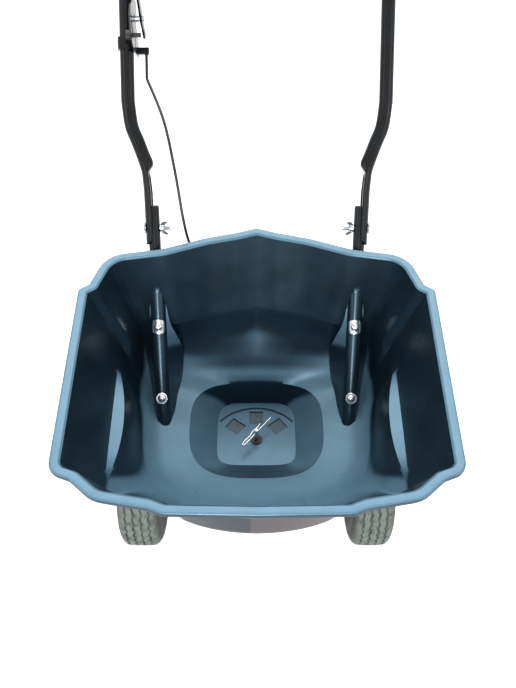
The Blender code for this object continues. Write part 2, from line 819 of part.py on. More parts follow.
def make_stand():
    points = stand_path(-1) + list(reversed(stand_path(1)))
    stand = hollow_tube("stand", points, STAND_RADIUS / math.cos(math.pi / STAND_STEPS), TUBE_WALL, BLACK_STEEL,
                        STAND_STEPS)
    for side_name, side in (("left", -1), ("right", 1)):
        post_middle = side * post_x(STAND_BOLT_HEIGHT)
        inner = post_middle - side * (STAND_INSET + STAND_RADIUS)
        outer = post_middle + side * POST_RADIUS
        length = abs(outer - inner)
        middle = (outer + inner) / 2
        boolean(stand, rod_cutter(f"stand_hole_{side_name}", STAND_RIVET_RADIUS + GAP, length + 0.02, (1, 0, 0),
                                  (middle, AXLE_Y, STAND_BOLT_HEIGHT)))
        half = length / 2 + 2 * GAP
        head = STAND_RIVET_RADIUS * 2
        profile = [
            (0, half + 0.0025),
            (head * 0.6, half + 0.002),
            (head, half),
            (STAND_RIVET_RADIUS, half),
            (STAND_RIVET_RADIUS, -half),
            (head, -half),
            (head * 0.6, -half - 0.002),
            (0, -half - 0.0025),
        ]
        turned(f"stand_rivet_{side_name}", profile, ZINC, axis=(1, 0, 0),
               location=(middle, AXLE_Y, STAND_BOLT_HEIGHT))


# Hopper bolts
def make_hopper_bolts():
    for name, level, centre in post_bolt_frames():
        washer_top = CREST_RADIUS + GAP + WASHER_THICKNESS
        nut_top = POST_RADIUS + GAP
        nut_height = 0.0055
        shank_end = nut_top + nut_height + 0.003
        profile = [
            (0, washer_top + GAP + 0.0045),
            (HOPPER_BOLT_HEAD * 0.5, washer_top + GAP + 0.004),
            (HOPPER_BOLT_HEAD * 0.85, washer_top + GAP + 0.0022),
            (HOPPER_BOLT_HEAD, washer_top + GAP),
            (HOPPER_BOLT_RADIUS, washer_top + GAP),
            (HOPPER_BOLT_RADIUS, -shank_end),
            (0, -shank_end),
        ]
        turned(f"hopper_bolt_{name}", profile, BRIGHT_STEEL, location=centre, axis=POST_OUT)
        if level == "upper":
            make_saddle_washer(f"hopper_washer_{name}", centre, CREST_RADIUS + GAP)
        else:
            bottom = CREST_RADIUS + GAP
            ring = [
                (0.011, washer_top),
                (0.011, bottom),
                (HOPPER_BOLT_RADIUS + GAP, bottom),
                (HOPPER_BOLT_RADIUS + GAP, washer_top),
            ]
            turned(f"hopper_washer_{name}", ring, BRIGHT_STEEL, location=centre, axis=POST_OUT)
        nut = [circle(0.0062, steps=6), circle(HOPPER_BOLT_RADIUS + GAP, steps=SMALL_STEPS)]
        place = Matrix.Translation(centre - POST_OUT * (nut_top + nut_height / 2)) @ aim(POST_OUT)
        plate(f"hopper_nut_{name}", nut, nut_height, ZINC, matrix=place)


def make_saddle_washer(name, centre, radius):
    """A washer bent over the ridge's crest."""
    half_width = 0.011
    half_length = 0.014
    edge = math.degrees(math.asin(half_width / radius))
    along = POST_UP
    rings = []
    for step in range(7):
        angle = math.radians(90 - edge + 2 * edge * step / 6)
        middle = centre + Vector((radius * math.cos(angle), 0, 0)) + POST_OUT * radius * math.sin(angle)
        rings.append([middle - along * half_length, middle + along * half_length])
    data, rows = loft(rings, cyclic=False)
    bmesh.ops.recalc_face_normals(data, faces=data.faces)
    face = list(data.faces)[3]
    if face.normal.dot(POST_OUT) < 0:
        bmesh.ops.reverse_faces(data, faces=data.faces)
    washer = mesh_object(name, data, BRIGHT_STEEL)
    shell = washer.modifiers.new("thickness", "SOLIDIFY")
    shell.thickness = WASHER_THICKNESS
    shell.offset = 1
    boolean(washer, rod_cutter(f"{name}_hole", HOPPER_BOLT_RADIUS + GAP, 0.02, POST_OUT,
                               centre + POST_OUT * radius))


# Height above the rim and half angle of the rings of the handle's crushed ends
SADDLE_RINGS = ((-0.014, 45), (-0.008, 70), (0.002, 84), (0.060, 86))


def crescent(side, height, half_angle):
    """Ring of the crushed handle end that hugs the outside of a post, on the post's centre line."""
    inner = POST_RADIUS + SADDLE_GAP
    outer = inner + SADDLE_THICKNESS
    points = []
    for radius, direction in ((outer, 1), (inner, -1)):
        for step in range(7):
            angle = math.radians(direction * half_angle * (step / 3 - 1))
            points.append(beside_post(side, height, side * radius * math.cos(angle), radius * math.sin(angle)))
    return points


def handle_path():
    """Centre line of the handle's right side, from above the saddle to the middle of the top bar."""
    points = []
    for above, out in FLARE:
        height = RIM_HEIGHT + above
        points.append(Vector((post_x(height) + out, post_y(height), height)))
    straight = RIM_HEIGHT + FLARE_END
    points.append(Vector((HANDLE_HALF_WIDTH, post_y(straight), straight)))
    bar = Vector((HANDLE_HALF_WIDTH, HANDLE_BAR_Y, HANDLE_HEIGHT))
    steps = 4
    for step in range(steps + 1):
        angle = math.pi / 2 * step / steps
        across = HANDLE_CORNER * (1 - math.cos(angle))
        along = HANDLE_CORNER * (1 - math.sin(angle))
        points.append(bar - Vector((across, 0, 0)) - POST_UP * along)
    points.append(Vector((0, HANDLE_BAR_Y, HANDLE_HEIGHT)))
    return points


def round_ring(centre, out, forward):
    """Ring of the round tube, its points matched to the crescent's."""
    up = out.cross(forward)
    ring = []
    for step in range(14):
        angle = math.radians(-90 + 360 * (step + 0.5) / 14)
        ring.append(centre + (out * math.cos(angle) + up * math.sin(angle)) * HANDLE_RADIUS)
    return ring


def make_handle():
    rings = [crescent(1, RIM_HEIGHT + drop, half_angle) for drop, half_angle in SADDLE_RINGS]
    path = handle_path()
    out = Vector((1, 0, 0))
    round_rings = []
    for place, point in enumerate(path):
        before = path[max(place - 1, 0)]
        after = path[min(place + 1, len(path) - 1)]
        forward = ((point - before).normalized() + (after - point).normalized()).normalized()
        if place == len(path) - 1:
            forward = Vector((-1, 0, 0))
        out = (out - forward * out.dot(forward)).normalized()
        round_rings.append(round_ring(point, out, forward))
    last = crescent(1, RIM_HEIGHT + FLARE_START, SADDLE_RINGS[-1][1])
    rings.append([one.lerp(two, 0.4) for one, two in zip(last, round_rings[0])])
    handle = shelled("handle_tube", rings + round_rings, TUBE_WALL, BLACK_STEEL, mirror=True)
    for side_name, side in (("left", -1), ("right", 1)):
        joint = Vector((side * post_x(JOINT_HEIGHT), post_y(JOINT_HEIGHT), JOINT_HEIGHT))
        boolean(handle, rod_cutter(f"saddle_hole_{side_name}", JOINT_BOLT_RADIUS + 0.0004, 0.06, (1, 0, 0),
                                   joint))
    return handle


def joint_point(side):
    return Vector((side * post_x(JOINT_HEIGHT), post_y(JOINT_HEIGHT), JOINT_HEIGHT))


def make_joint_bolts():
    """Carriage bolts from outside through the saddles and posts, with wing nuts inside."""
    outer = POST_RADIUS + SADDLE_GAP + SADDLE_THICKNESS + GAP
    head = 0.010
    tip = -(POST_RADIUS + WING_NUT_HEIGHT + WING_BOLT_TIP)
    for side_name, side in (("left", -1), ("right", 1)):
        profile = [
            (0, outer + 0.0045),
            (head * 0.5, outer + 0.0040),
            (head * 0.85, outer + 0.0022),
            (head, outer + 0.0006),
            (head, outer),
            (JOINT_BOLT_RADIUS, outer),
            (JOINT_BOLT_RADIUS, tip),
            (0, tip),
        ]
        turned(f"handle_bolt_{side_name}", profile, ZINC, location=joint_point(side), axis=(side, 0, 0))
        make_wing_nut(side_name, side)


def make_wing_nut(side_name, side):
    """A wing nut on its own turning point, with wings up and down."""
    seat = joint_point(side) - Vector((side * (POST_RADIUS + GAP), 0, 0))
    empty = add_empty(f"wing_nut_{side_name}_axis", seat)
    inward = Vector((-side, 0, 0))
    hub_top = WING_NUT_HEIGHT
    hub = rod(0.0075, hub_top, inward, inward * hub_top / 2, top_radius=0.0060)
    nut = mesh_object(f"wing_nut_{side_name}", hub, ZINC, empty)
    for number, up in enumerate((-1, 1)):
        outline = [(0.003, 0.001), (0.0085, 0.001), (0.0150, 0.006), (0.0165, 0.011), (0.0150, 0.0140),
                   (0.0115, 0.0125), (0.0075, 0.0085), (0.003, 0.0080)]
        wing_matrix = Matrix(((0, inward.x, 0, 0), (0, 0, 1, 0), (up, 0, 0, 0), (0, 0, 0, 1)))
        wing = plate(f"wing_{side_name}_{number}", [outline], 0.0022, None, empty, wing_matrix)
        boolean(nut, make_cutter(as_mesh(wing)), "UNION")
    boolean(nut, rod_cutter(f"wing_nut_hole_{side_name}", JOINT_BOLT_RADIUS + GAP, 0.04, inward,
                            (0, 0, 0), empty, SMALL_STEPS))


def make_grips():
    for side_name, side in (("left", -1), ("right", 1)):
        half = GRIP_LENGTH / 2
        bore = HANDLE_RADIUS + GAP
        profile = [
            (GRIP_RADIUS - 0.002, half),
            (GRIP_RADIUS, half - 0.003),
            (GRIP_RADIUS, -half + 0.003),
            (GRIP_RADIUS - 0.002, -half),
            (bore, -half),
            (bore, half),
        ]
        turned(f"grip_{side_name}", profile, FOAM, axis=(1, 0, 0), steps=16,
               location=(side * GRIP_MIDDLE, HANDLE_BAR_Y, HANDLE_HEIGHT))


# Wheels
def wheel_profile():
    """Half of the tyre's outer profile as offset from the wheel's middle and radius."""
    half = TYRE_WIDTH / 2
    crown = TYRE_RADIUS / math.cos(math.pi / WHEEL_STEPS)
    return (
        (0.0, crown),
        (half * 0.50, crown - 0.0015),
        (half * 0.80, crown - 0.0075),
        (half * 0.97, crown - 0.0220),
        (half, crown - 0.0340),
        (half * 0.90, crown - 0.0500),
        (half * 0.72, TYRE_BEAD),
    )


def make_wheel(side_name, side, hub, parent):
    """Tyre and rim, turned about the axle."""
    outer = wheel_profile()
    upper = [(radius, offset) for offset, radius in reversed(outer)]
    lower = [(radius, -offset) for offset, radius in outer[1:]]
    wall = 0.006
    bead = outer[-1][0]
    inner = [
        (TYRE_BEAD, -(bead - wall)),
        (TYRE_RADIUS - 0.036, -(TYRE_WIDTH / 2 - wall)),
        (TYRE_RADIUS - 0.012, -(TYRE_WIDTH / 2 * 0.70 - wall)),
        (TYRE_RADIUS - 0.012, TYRE_WIDTH / 2 * 0.70 - wall),
        (TYRE_RADIUS - 0.036, TYRE_WIDTH / 2 - wall),
        (TYRE_BEAD, bead - wall),
    ]
    centre = Vector((side * WHEEL_X, 0, 0)) + (Vector((0, AXLE_Y, AXLE_HEIGHT)) - parent.location)
    profile = upper + lower + inner
    turned(f"tyre_{side_name}", profile, TYRE_RUBBER, parent, centre, (1, 0, 0), WHEEL_STEPS)
    rim_outer = TYRE_BEAD - GAP
    lip = 0.0045
    edge = bead + 0.004
    web = 0.003
    half_hub = HUB_LENGTH / 2
    rim_profile = [
        (HUB_RADIUS, half_hub),
        (HUB_RADIUS, web),
        (rim_outer - 0.006, web),
        (rim_outer - 0.003, edge - 0.002),
        (rim_outer + lip, edge + 0.001),
        (rim_outer + lip, edge - 0.0015),
        (rim_outer, bead + GAP),
        (rim_outer, -bead - GAP),
        (rim_outer + lip, -edge + 0.0015),
        (rim_outer + lip, -edge - 0.001),
        (rim_outer - 0.003, -edge + 0.002),
        (rim_outer - 0.006, -web),
        (HUB_RADIUS, -web),
        (HUB_RADIUS, -half_hub),
        (hub, -half_hub),
        (hub, half_hub),
    ]
    return turned(f"wheel_rim_{side_name}", rim_profile, RIM_PLASTIC, parent, centre, (1, 0, 0), WHEEL_STEPS)


def make_wheels():
    drive = add_empty("drive_axis", (0, AXLE_Y, AXLE_HEIGHT))
    free = add_empty("free_wheel_axis", (0, AXLE_Y, AXLE_HEIGHT))
    hub_bore = AXLE_RADIUS + GAP
    left_rim = make_wheel("left", -1, hub_bore, drive)
    make_wheel("right", 1, hub_bore, free)
    end = WHEEL_X + HUB_LENGTH / 2
    axle_end = end + 0.012
    axle = mesh_object("axle", rod(AXLE_RADIUS, 2 * axle_end, (1, 0, 0), steps=16), ZINC, drive)
    pin_x = -(WHEEL_X + HUB_LENGTH / 2 - 0.010)
    pin_hole = rod_cutter("drive_pin_hole", DRIVE_PIN_RADIUS + GAP, 0.05, (0, 0, 1), (pin_x, 0, 0), drive)
    boolean(axle, pin_hole)
    boolean(left_rim, pin_hole)
    pin_half = HUB_RADIUS + 0.003
    profile = [
        (0, pin_half),
        (DRIVE_PIN_RADIUS, pin_half),
        (DRIVE_PIN_RADIUS, -pin_half),
        (0, -pin_half),
    ]
    turned("drive_pin", profile, ZINC, drive, (pin_x, 0, 0))
    for side_name, side in (("left", -1), ("right", 1)):
        bush_x = side * post_x(AXLE_HEIGHT)
        flange_inner = POST_RADIUS + GAP
        flange_outer = flange_inner + BUSH_FLANGE
        bore = AXLE_RADIUS + BUSH_CLEARANCE
        bush = [
            (BUSH_FLANGE_RADIUS, flange_outer),
            (BUSH_FLANGE_RADIUS, flange_inner),
            (BUSH_RADIUS, flange_inner),
            (BUSH_RADIUS, -flange_inner),
            (bore, -flange_inner),
            (bore, flange_outer),
        ]
        turned(f"axle_bush_{side_name}", bush, NYLON, location=(bush_x, AXLE_Y, AXLE_HEIGHT), axis=(side, 0, 0),
               steps=16)
        inner = post_x(AXLE_HEIGHT) + flange_outer + GAP
        outer = WHEEL_X - HUB_LENGTH / 2 - GAP
        spacer = [
            (0.0105, outer),
            (0.0105, inner),
            (AXLE_RADIUS + GAP, inner),
            (AXLE_RADIUS + GAP, outer),
        ]
        turned(f"wheel_spacer_{side_name}", spacer, ZINC, drive, axis=(side, 0, 0))
    washer_inner = end + GAP
    washer = [
        (0.013, washer_inner + 0.002),
        (0.013, washer_inner),
        (AXLE_RADIUS + GAP, washer_inner),
        (AXLE_RADIUS + GAP, washer_inner + 0.002),
    ]
    turned("retaining_washer", washer, ZINC, drive, axis=(1, 0, 0), steps=16)
    cotter_x = washer_inner + 0.002 + GAP + COTTER_RADIUS
    cotter_hole = rod_cutter("cotter_hole", COTTER_RADIUS + GAP, 0.05, (0, 0, 1), (cotter_x, 0, 0), drive)
    boolean(axle, cotter_hole)
    eye = [(cotter_x, 0.0035 * math.sin(math.radians(angle)),
            AXLE_RADIUS + 0.006 - 0.0035 * math.cos(math.radians(angle))) for angle in range(0, 301, 60)]
    leg = [(cotter_x, 0, -AXLE_RADIUS - 0.005), (cotter_x, 0, AXLE_RADIUS + 0.0005)]
    tube("cotter_pin", [Vector(point) for point in leg + eye], COTTER_RADIUS, ZINC, drive, resolution=2)


# Gear case, gears and impeller
def gear_teeth(count, root, tip, root_width, tip_width):
    """Outline of a gear with straight-sided teeth, one tooth on +X."""
    points = []
    for tooth in range(count):
        middle = 2 * math.pi * tooth / count
        forward = Vector((math.cos(middle), math.sin(middle)))
        across = Vector((-forward.y, forward.x))
        for radius, offset in ((root, -root_width / 2), (tip, -tip_width / 2), (tip, tip_width / 2),
                               (root, root_width / 2)):
            point = forward * radius + across * offset
            points.append((point.x, point.y))
    return points


PINION_PITCH = CROWN_RADIUS * PINION_TEETH / CROWN_TEETH
PINION_TIP = PINION_PITCH + 0.0022
PINION_ROOT = PINION_PITCH - 0.0026
CROWN_TOOTH_TIP = PINION_PITCH - 0.0020
CROWN_DISC = PINION_TIP + 0.0006
TOOTH_PITCH = 2 * math.pi * CROWN_RADIUS / CROWN_TEETH


def make_gears(drive, spin):
    hub = CASE_MIDDLE + CASE_HALF_WIDTH - CASE_WALL - GAP
    rim = CROWN_RADIUS + CROWN_FACE / 2
    profile = [
        (0.012, hub),
        (0.012, CROWN_DISC + CROWN_FACE),
        (rim, CROWN_DISC + CROWN_FACE),
        (rim, CROWN_DISC),
        (AXLE_RADIUS + GAP, CROWN_DISC),
        (AXLE_RADIUS + GAP, hub),
    ]
    crown = turned("crown_gear", profile, NYLON, drive, axis=(1, 0, 0), steps=CROWN_TEETH)
    teeth = bmesh.new()
    root_width = TOOTH_PITCH * 0.42
    tip_width = TOOTH_PITCH * 0.20
    for tooth in range(CROWN_TEETH):
        turn = Matrix.Rotation(2 * math.pi * (tooth + 0.5) / CROWN_TEETH, 4, "X")
        corners = []
        for x, width in ((CROWN_TOOTH_TIP, tip_width), (CROWN_DISC + 0.001, root_width)):
            for radius, across in ((CROWN_RADIUS - CROWN_FACE / 2, -width / 2),
                                   (CROWN_RADIUS - CROWN_FACE / 2, width / 2),
                                   (CROWN_RADIUS + CROWN_FACE / 2 - 0.0003, width / 2),
                                   (CROWN_RADIUS + CROWN_FACE / 2 - 0.0003, -width / 2)):
                corners.append(teeth.verts.new(turn @ Vector((x, across, radius))))
        for face in ((0, 1, 2, 3), (4, 5, 6, 7), (0, 1, 5, 4), (1, 2, 6, 5), (2, 3, 7, 6), (3, 0, 4, 7)):
            teeth.faces.new([corners[corner] for corner in face])
    bmesh.ops.recalc_face_normals(teeth, faces=teeth.faces)
    boolean(crown, make_cutter(mesh_object("crown_teeth", teeth, None, drive)), "UNION")
    outline = gear_teeth(PINION_TEETH, PINION_ROOT, PINION_TIP, TOOTH_PITCH * 0.40, TOOTH_PITCH * 0.16)
    bore = circle(SHAFT_RADIUS + GAP)
    height = AXLE_HEIGHT + CROWN_RADIUS
    matrix = Matrix.Translation((0, 0, height))
    plate("pinion", [outline, bore], PINION_HEIGHT, NYLON, spin, matrix)


def make_gear_case():
    """Two halves split at the axle's height, with a neck that carries the impeller shaft."""
    inner = CASE_RADIUS - CASE_WALL
    middle = Vector((CASE_MIDDLE, AXLE_Y, AXLE_HEIGHT))
    outside = 2 * CASE_HALF_WIDTH
    inside = outside - 2 * CASE_WALL
    cavity = rod_cutter("case_cavity", inner, inside, (1, 0, 0), middle, steps=20)
    axle_bore = rod_cutter("case_axle_bore", AXLE_RADIUS + BUSH_CLEARANCE, outside + 0.02, (1, 0, 0), middle,
                           steps=16)
    shaft_bore = rod_cutter("case_shaft_bore", SHAFT_RADIUS + BUSH_CLEARANCE, 0.12, (0, 0, 1),
                            (0, AXLE_Y, AXLE_HEIGHT + 0.080), steps=12)
    neck_height = NECK_TOP - AXLE_HEIGHT - inner - 0.001
    neck = make_cutter(mesh_object(
        "case_neck", rod(0.012, neck_height, (0, 0, 1), (0, AXLE_Y, NECK_TOP - neck_height / 2), steps=16), None))
    for half, up in (("upper", 1), ("lower", -1)):
        case = mesh_object(f"gear_case_{half}", rod(CASE_RADIUS, outside, (1, 0, 0), middle, steps=20),
                           CAP_PLASTIC)
        flange = block((outside, 2 * CASE_RADIUS + 0.016, 2 * CASE_WALL), middle)
        boolean(case, make_cutter(mesh_object(f"case_flange_{half}", flange, None)), "UNION")
        boolean(case, cavity)
        if up > 0:
            boolean(case, neck, "UNION")
            boolean(case, shaft_bore)
        boolean(case, axle_bore)
        other_half = block_cutter(f"case_split_{half}", (0.1, 0.2, 0.1),
                                  middle - Vector((0, 0, up * (0.05 - GAP / 2))))
        boolean(case, other_half)


def make_impeller(spin):
    """The shaft, the disc with its vanes, and the clip through the shaft above the hopper floor."""
    bottom = AXLE_HEIGHT + CROWN_RADIUS - PINION_HEIGHT / 2
    top = FLOOR_HEIGHT + SHAFT_ABOVE_FLOOR
    shaft = mesh_object("impeller_shaft", rod(SHAFT_RADIUS, top - bottom, (0, 0, 1),
                                              (0, 0, (top + bottom) / 2), steps=12), ZINC, spin)
    clip_height = top - 0.009
    clip_axis = Vector((math.cos(CLIP_ANGLE), math.sin(CLIP_ANGLE), 0))
    boolean(shaft, rod_cutter("clip_hole", CLIP_RADIUS + GAP, 0.03, clip_axis, (0, 0, clip_height), spin))
    side = Vector((-clip_axis.y, clip_axis.x, 0))
    points = [
        clip_axis * 0.030,
        clip_axis * 0.012,
        clip_axis * -0.012,
        clip_axis * -0.024,
        clip_axis * -0.031 + side * 0.0015,
        clip_axis * -0.034 + side * 0.0050,
        clip_axis * -0.031 + side * 0.0085,
        clip_axis * -0.025 + side * 0.0095,
        clip_axis * -0.013 + side * 0.0070,
        clip_axis * -0.006 + side * 0.0075,
        clip_axis * 0.000 + side * 0.0082,
        clip_axis * 0.006 + side * 0.0075,
        clip_axis * 0.013 + side * 0.0080,
        clip_axis * 0.020 + side * 0.0110,
    ]
    lifted = [point + Vector((0, 0, clip_height)) for point in points]
    tube("agitator_clip", lifted, CLIP_RADIUS, BRIGHT_STEEL, spin, resolution=2)
    hub = rod(0.011, 0.030, (0, 0, 1), (0, 0, IMPELLER_HEIGHT + 0.013), steps=16)
    impeller = mesh_object("impeller", hub, CAP_PLASTIC, spin)
    disc = rod(IMPELLER_RADIUS, IMPELLER_THICKNESS, (0, 0, 1), (0, 0, IMPELLER_HEIGHT), steps=36)
    boolean(impeller, make_cutter(mesh_object("impeller_disc", disc, None, spin)), "UNION")
    for vane in range(VANES):
        turn = Matrix.Rotation(2 * math.pi * vane / VANES, 4, "Z")
        length = IMPELLER_RADIUS - 0.012
        blade = block((length, 0.0025, VANE_HEIGHT), (0.008 + length / 2, 0, IMPELLER_HEIGHT + VANE_HEIGHT / 2))
        bmesh.ops.transform(blade, matrix=turn, verts=blade.verts)
        boolean(impeller, make_cutter(mesh_object(f"vane_{vane}", blade, None, spin)), "UNION")
    boolean(impeller, rod_cutter("impeller_bore", SHAFT_RADIUS + GAP, 0.08, (0, 0, 1),
                                 (0, 0, IMPELLER_HEIGHT), spin, SMALL_STEPS))


def make_floor_bush():
    """Nylon bush in the well's floor round the shaft."""
    flange_top = FLOOR_HEIGHT + GAP + 0.003
    bore = SHAFT_RADIUS + BUSH_CLEARANCE
    profile = [
        (0.0115, flange_top),
        (0.0115, FLOOR_HEIGHT + GAP),
        (FLOOR_BUSH_RADIUS, FLOOR_HEIGHT + GAP),
        (FLOOR_BUSH_RADIUS, FLOOR_HEIGHT - WALL),
        (bore, FLOOR_HEIGHT - WALL),
        (bore, flange_top),
    ]
    turned("shaft_bush", profile, NYLON, location=(0, AXLE_Y, 0), steps=16)


# Shutter under the floor
def shutter_outline():
    front = SHUTTER_FRONT
    back = SHUTTER_BACK
    half = SHUTTER_HALF_WIDTH
    cut = SHUTTER_CORNER
    return [(-half, front + cut), (-half + cut, front), (half - cut, front), (half, front + cut),
            (half, back - cut), (half - cut, back), (-half + cut, back), (-half, back - cut)]


def make_shutter():
    """The plate that slides to the back to open the three ports, its guides, and the wire's clamp lug.

    The slot for the shaft runs into the hole that opens the middle port.
    """
    slide = add_empty("shutter_axis", (0, AXLE_Y, SHUTTER_HEIGHT))
    left, middle, right = [
        [(corner.x, corner.y - SHUTTER_TRAVEL) for corner in corners] for corners in port_corners()
    ]
    slot_half = SHAFT_RADIUS + 0.004
    near = PORT_INNER - SHUTTER_TRAVEL
    slot = arc((0, -SHUTTER_TRAVEL - SLOT_SPARE), slot_half, 180, 360, 6)
    slot += [(slot_half, near), (PORT_WIDTH / 2, near), (PORT_WIDTH / 2, middle[2][1]),
             (-PORT_WIDTH / 2, middle[2][1]), (-PORT_WIDTH / 2, near), (-slot_half, near)]
    outlines = [shutter_outline(), slot, left, right]
    shutter = as_mesh(plate("shutter", outlines, SHUTTER_THICKNESS, None, slide))
    shutter.data.materials.append(ZINC)
    lug_height = 0.010
    lug = block((0.012, SHUTTER_THICKNESS, lug_height),
                (WIRE_X, SHUTTER_BACK - SHUTTER_THICKNESS, -lug_height / 2))
    boolean(shutter, make_cutter(mesh_object("shutter_lug", lug, None, slide)), "UNION")
    wire_hole = rod_cutter("shutter_wire_hole", WIRE_RADIUS + GAP, 0.02, (0, 1, 0),
                           (WIRE_X, SHUTTER_BACK, WIRE_DROP), slide, steps=8)
    boolean(shutter, wire_hole)
    for side_name, side in (("left", -1), ("right", 1)):
        low = SHUTTER_THICKNESS + 2 * GAP
        outline = [(0, 0), (0.008, 0), (0.008, -low - 0.002), (-0.006, -low - 0.002), (-0.006, -low), (0, -low)]
        flipped = [(side * x, z) for x, z in outline]
        place = Matrix.Translation((side * (SHUTTER_HALF_WIDTH + GAP), AXLE_Y + 0.028,
                                    FLOOR_HEIGHT - WALL - GAP))
        stand_up = Matrix.Rotation(math.pi / 2, 4, "X")
        plate(f"shutter_guide_{side_name}", [flipped], 0.060, NYLON, None, place @ stand_up)
    return slide


def sampled(points, spacing):
    """Points along a smooth curve through the given points, about a spacing apart."""
    result = [points[0]]
    for place in range(len(points) - 1):
        before = points[max(place - 1, 0)]
        one, two = points[place], points[place + 1]
        after = points[min(place + 2, len(points) - 1)]
        steps = max(1, round((two - one).length / spacing))
        for step in range(1, steps + 1):
            t = step / steps
            point = 0.5 * (2 * one + (two - before) * t + (2 * before - 5 * one + 4 * two - after) * t**2
                           + (3 * one - before - 3 * two + after) * t**3)
            result.append(point)
    return result


# Rate lever on the left side of the handle
CONSOLE_X = -(HANDLE_HALF_WIDTH - HANDLE_RADIUS - GAP - CONSOLE_THICKNESS)
LEVER_X = CONSOLE_X + 0.0113
LEVER_PIVOT = Vector((LEVER_X, post_y(LEVER_HEIGHT), LEVER_HEIGHT))
LEVER_WIRE_X = LEVER_X + LEVER_THICKNESS / 2 + 0.0018
STOP_RADIUS = 0.048
STOP_ANGLE = 49
STOP_SWING = 40

# Cable: the housing's two ends, each a straight run with a bore for the sliding wire
CABLE_START = Vector((WIRE_X, AXLE_Y + 0.172, SHUTTER_HEIGHT + WIRE_DROP))
CABLE_BORE = 0.052
LEVER_WIRE_MIDDLE = Vector((LEVER_WIRE_X, LEVER_PIVOT.y, LEVER_PIVOT.z)) - POST_OUT * LEVER_ARM
CABLE_END = LEVER_WIRE_MIDDLE - POST_UP * CABLE_BELOW_PIVOT
CABLE_ROUTE = (
    Vector((-0.044, 0.295, RIM_HEIGHT - 0.330)),
    Vector((-0.070, 0.318, RIM_HEIGHT - 0.270)),
    Vector((-0.104, 0.305, RIM_HEIGHT - 0.150)),
    Vector((-0.127, 0.276, RIM_HEIGHT - 0.030)),
    Vector((-0.137, 0.283, RIM_HEIGHT + 0.030)),
    Vector((-0.150, 0.330, RIM_HEIGHT + 0.100)),
    Vector((-0.170, 0.395, RIM_HEIGHT + 0.165)),
)


def make_cable(slide):
    straight = 0.055
    start = CABLE_START
    end = CABLE_END
    back = Vector((0, 1, 0))
    points = [start, start + back * straight]
    run = [points[-1], *CABLE_ROUTE, end - POST_UP * straight]
    points += sampled(run, 0.020)[1:]
    points.append(end)
    housing = as_mesh(tube("cable_housing", points, CABLE_RADIUS, None, resolution=2))
    housing.data.materials.append(CAP_PLASTIC)
    boolean(housing, rod_cutter("cable_bore_low", WIRE_BORE, 2 * CABLE_BORE, back, start, steps=8))
    boolean(housing, rod_cutter("cable_bore_high", WIRE_BORE, 2 * CABLE_BORE, POST_UP, end, steps=8))
    low_end = CABLE_START + back * (CABLE_BORE - 0.004 - SHUTTER_TRAVEL)
    wire_start = Vector((WIRE_X, AXLE_Y + SHUTTER_BACK - 0.010, CABLE_START.z))
    wire = [wire_start, low_end]
    tube("shutter_wire", [point - slide.location for point in wire], WIRE_RADIUS, BRIGHT_STEEL, slide,
         resolution=2)


def lever_plane(centre):
    """Matrix whose X runs up the handle, Y out towards the front and Z across the machine."""
    across = POST_UP.cross(POST_OUT)
    matrix = Matrix((POST_UP, POST_OUT, across)).transposed().to_4x4()
    matrix.translation = centre
    return matrix


def turned_points(points, angle):
    cosine, sine = math.cos(angle), math.sin(angle)
    return [(x * cosine - y * sine, x * sine + y * cosine) for x, y in points]


def make_console():
    """Steel plate clamped to the handle, with the lever's pivot hole, the stop's slot and the cable's eye."""
    centre = Vector((CONSOLE_X - CONSOLE_THICKNESS / 2, LEVER_PIVOT.y, LEVER_PIVOT.z))
    edge = [(-0.060, -0.042), (-0.036, -0.042), (-0.012, -0.018), (0.030, -0.018), (0.036, 0.010),
            (0.012, 0.050), (-0.010, 0.062), (-0.040, 0.054), (-0.056, 0.030), (-0.060, 0.006)]
    slot_half = 0.0031
    first, last = 90 + STOP_ANGLE - STOP_SWING - 4, 90 + STOP_ANGLE + 4
    slot = (arc((0, 0), STOP_RADIUS + slot_half, first, last, 7)
            + arc((0, 0), STOP_RADIUS - slot_half, last, first, 7))
    pivot_hole = circle(PIVOT_RADIUS + GAP)
    console = as_mesh(plate("lever_console", [edge, pivot_hole, slot], CONSOLE_THICKNESS, None, None,
                            lever_plane(centre)))
    console.data.materials.append(BLACK_STEEL)
    handle_x = -HANDLE_HALF_WIDTH
    on_tube = LEVER_PIVOT - POST_UP * CLAMP_BELOW_PIVOT
    clamp = rod(HANDLE_RADIUS + CLAMP_WALL, CLAMP_LENGTH, POST_UP, Vector((handle_x, on_tube.y, on_tube.z)), steps=16)
    boolean(console, make_cutter(mesh_object("console_clamp", clamp, None)), "UNION")
    boolean(console, rod_cutter("console_bore", HANDLE_RADIUS + GAP, 0.20, POST_UP,
                                Vector((handle_x, LEVER_PIVOT.y, LEVER_PIVOT.z)), steps=24))
    eye_middle = CABLE_END - POST_UP * EYE_LENGTH / 2
    eye_start = CONSOLE_X - 0.001
    eye_end = LEVER_WIRE_X + CABLE_RADIUS + 0.0025
    eye_turn = Matrix((Vector((1, 0, 0)), POST_OUT, POST_UP)).transposed().to_4x4()
    eye = block((eye_end - eye_start, 2 * CABLE_RADIUS + 0.0055, EYE_LENGTH),
                Vector(((eye_start + eye_end) / 2, eye_middle.y, eye_middle.z)), eye_turn)
    boolean(console, make_cutter(mesh_object("console_eye", eye, None)), "UNION")
    boolean(console, rod_cutter("console_eye_bore", CABLE_RADIUS / math.cos(math.pi / 8) + GAP, 0.04, POST_UP,
                                eye_middle, steps=16))


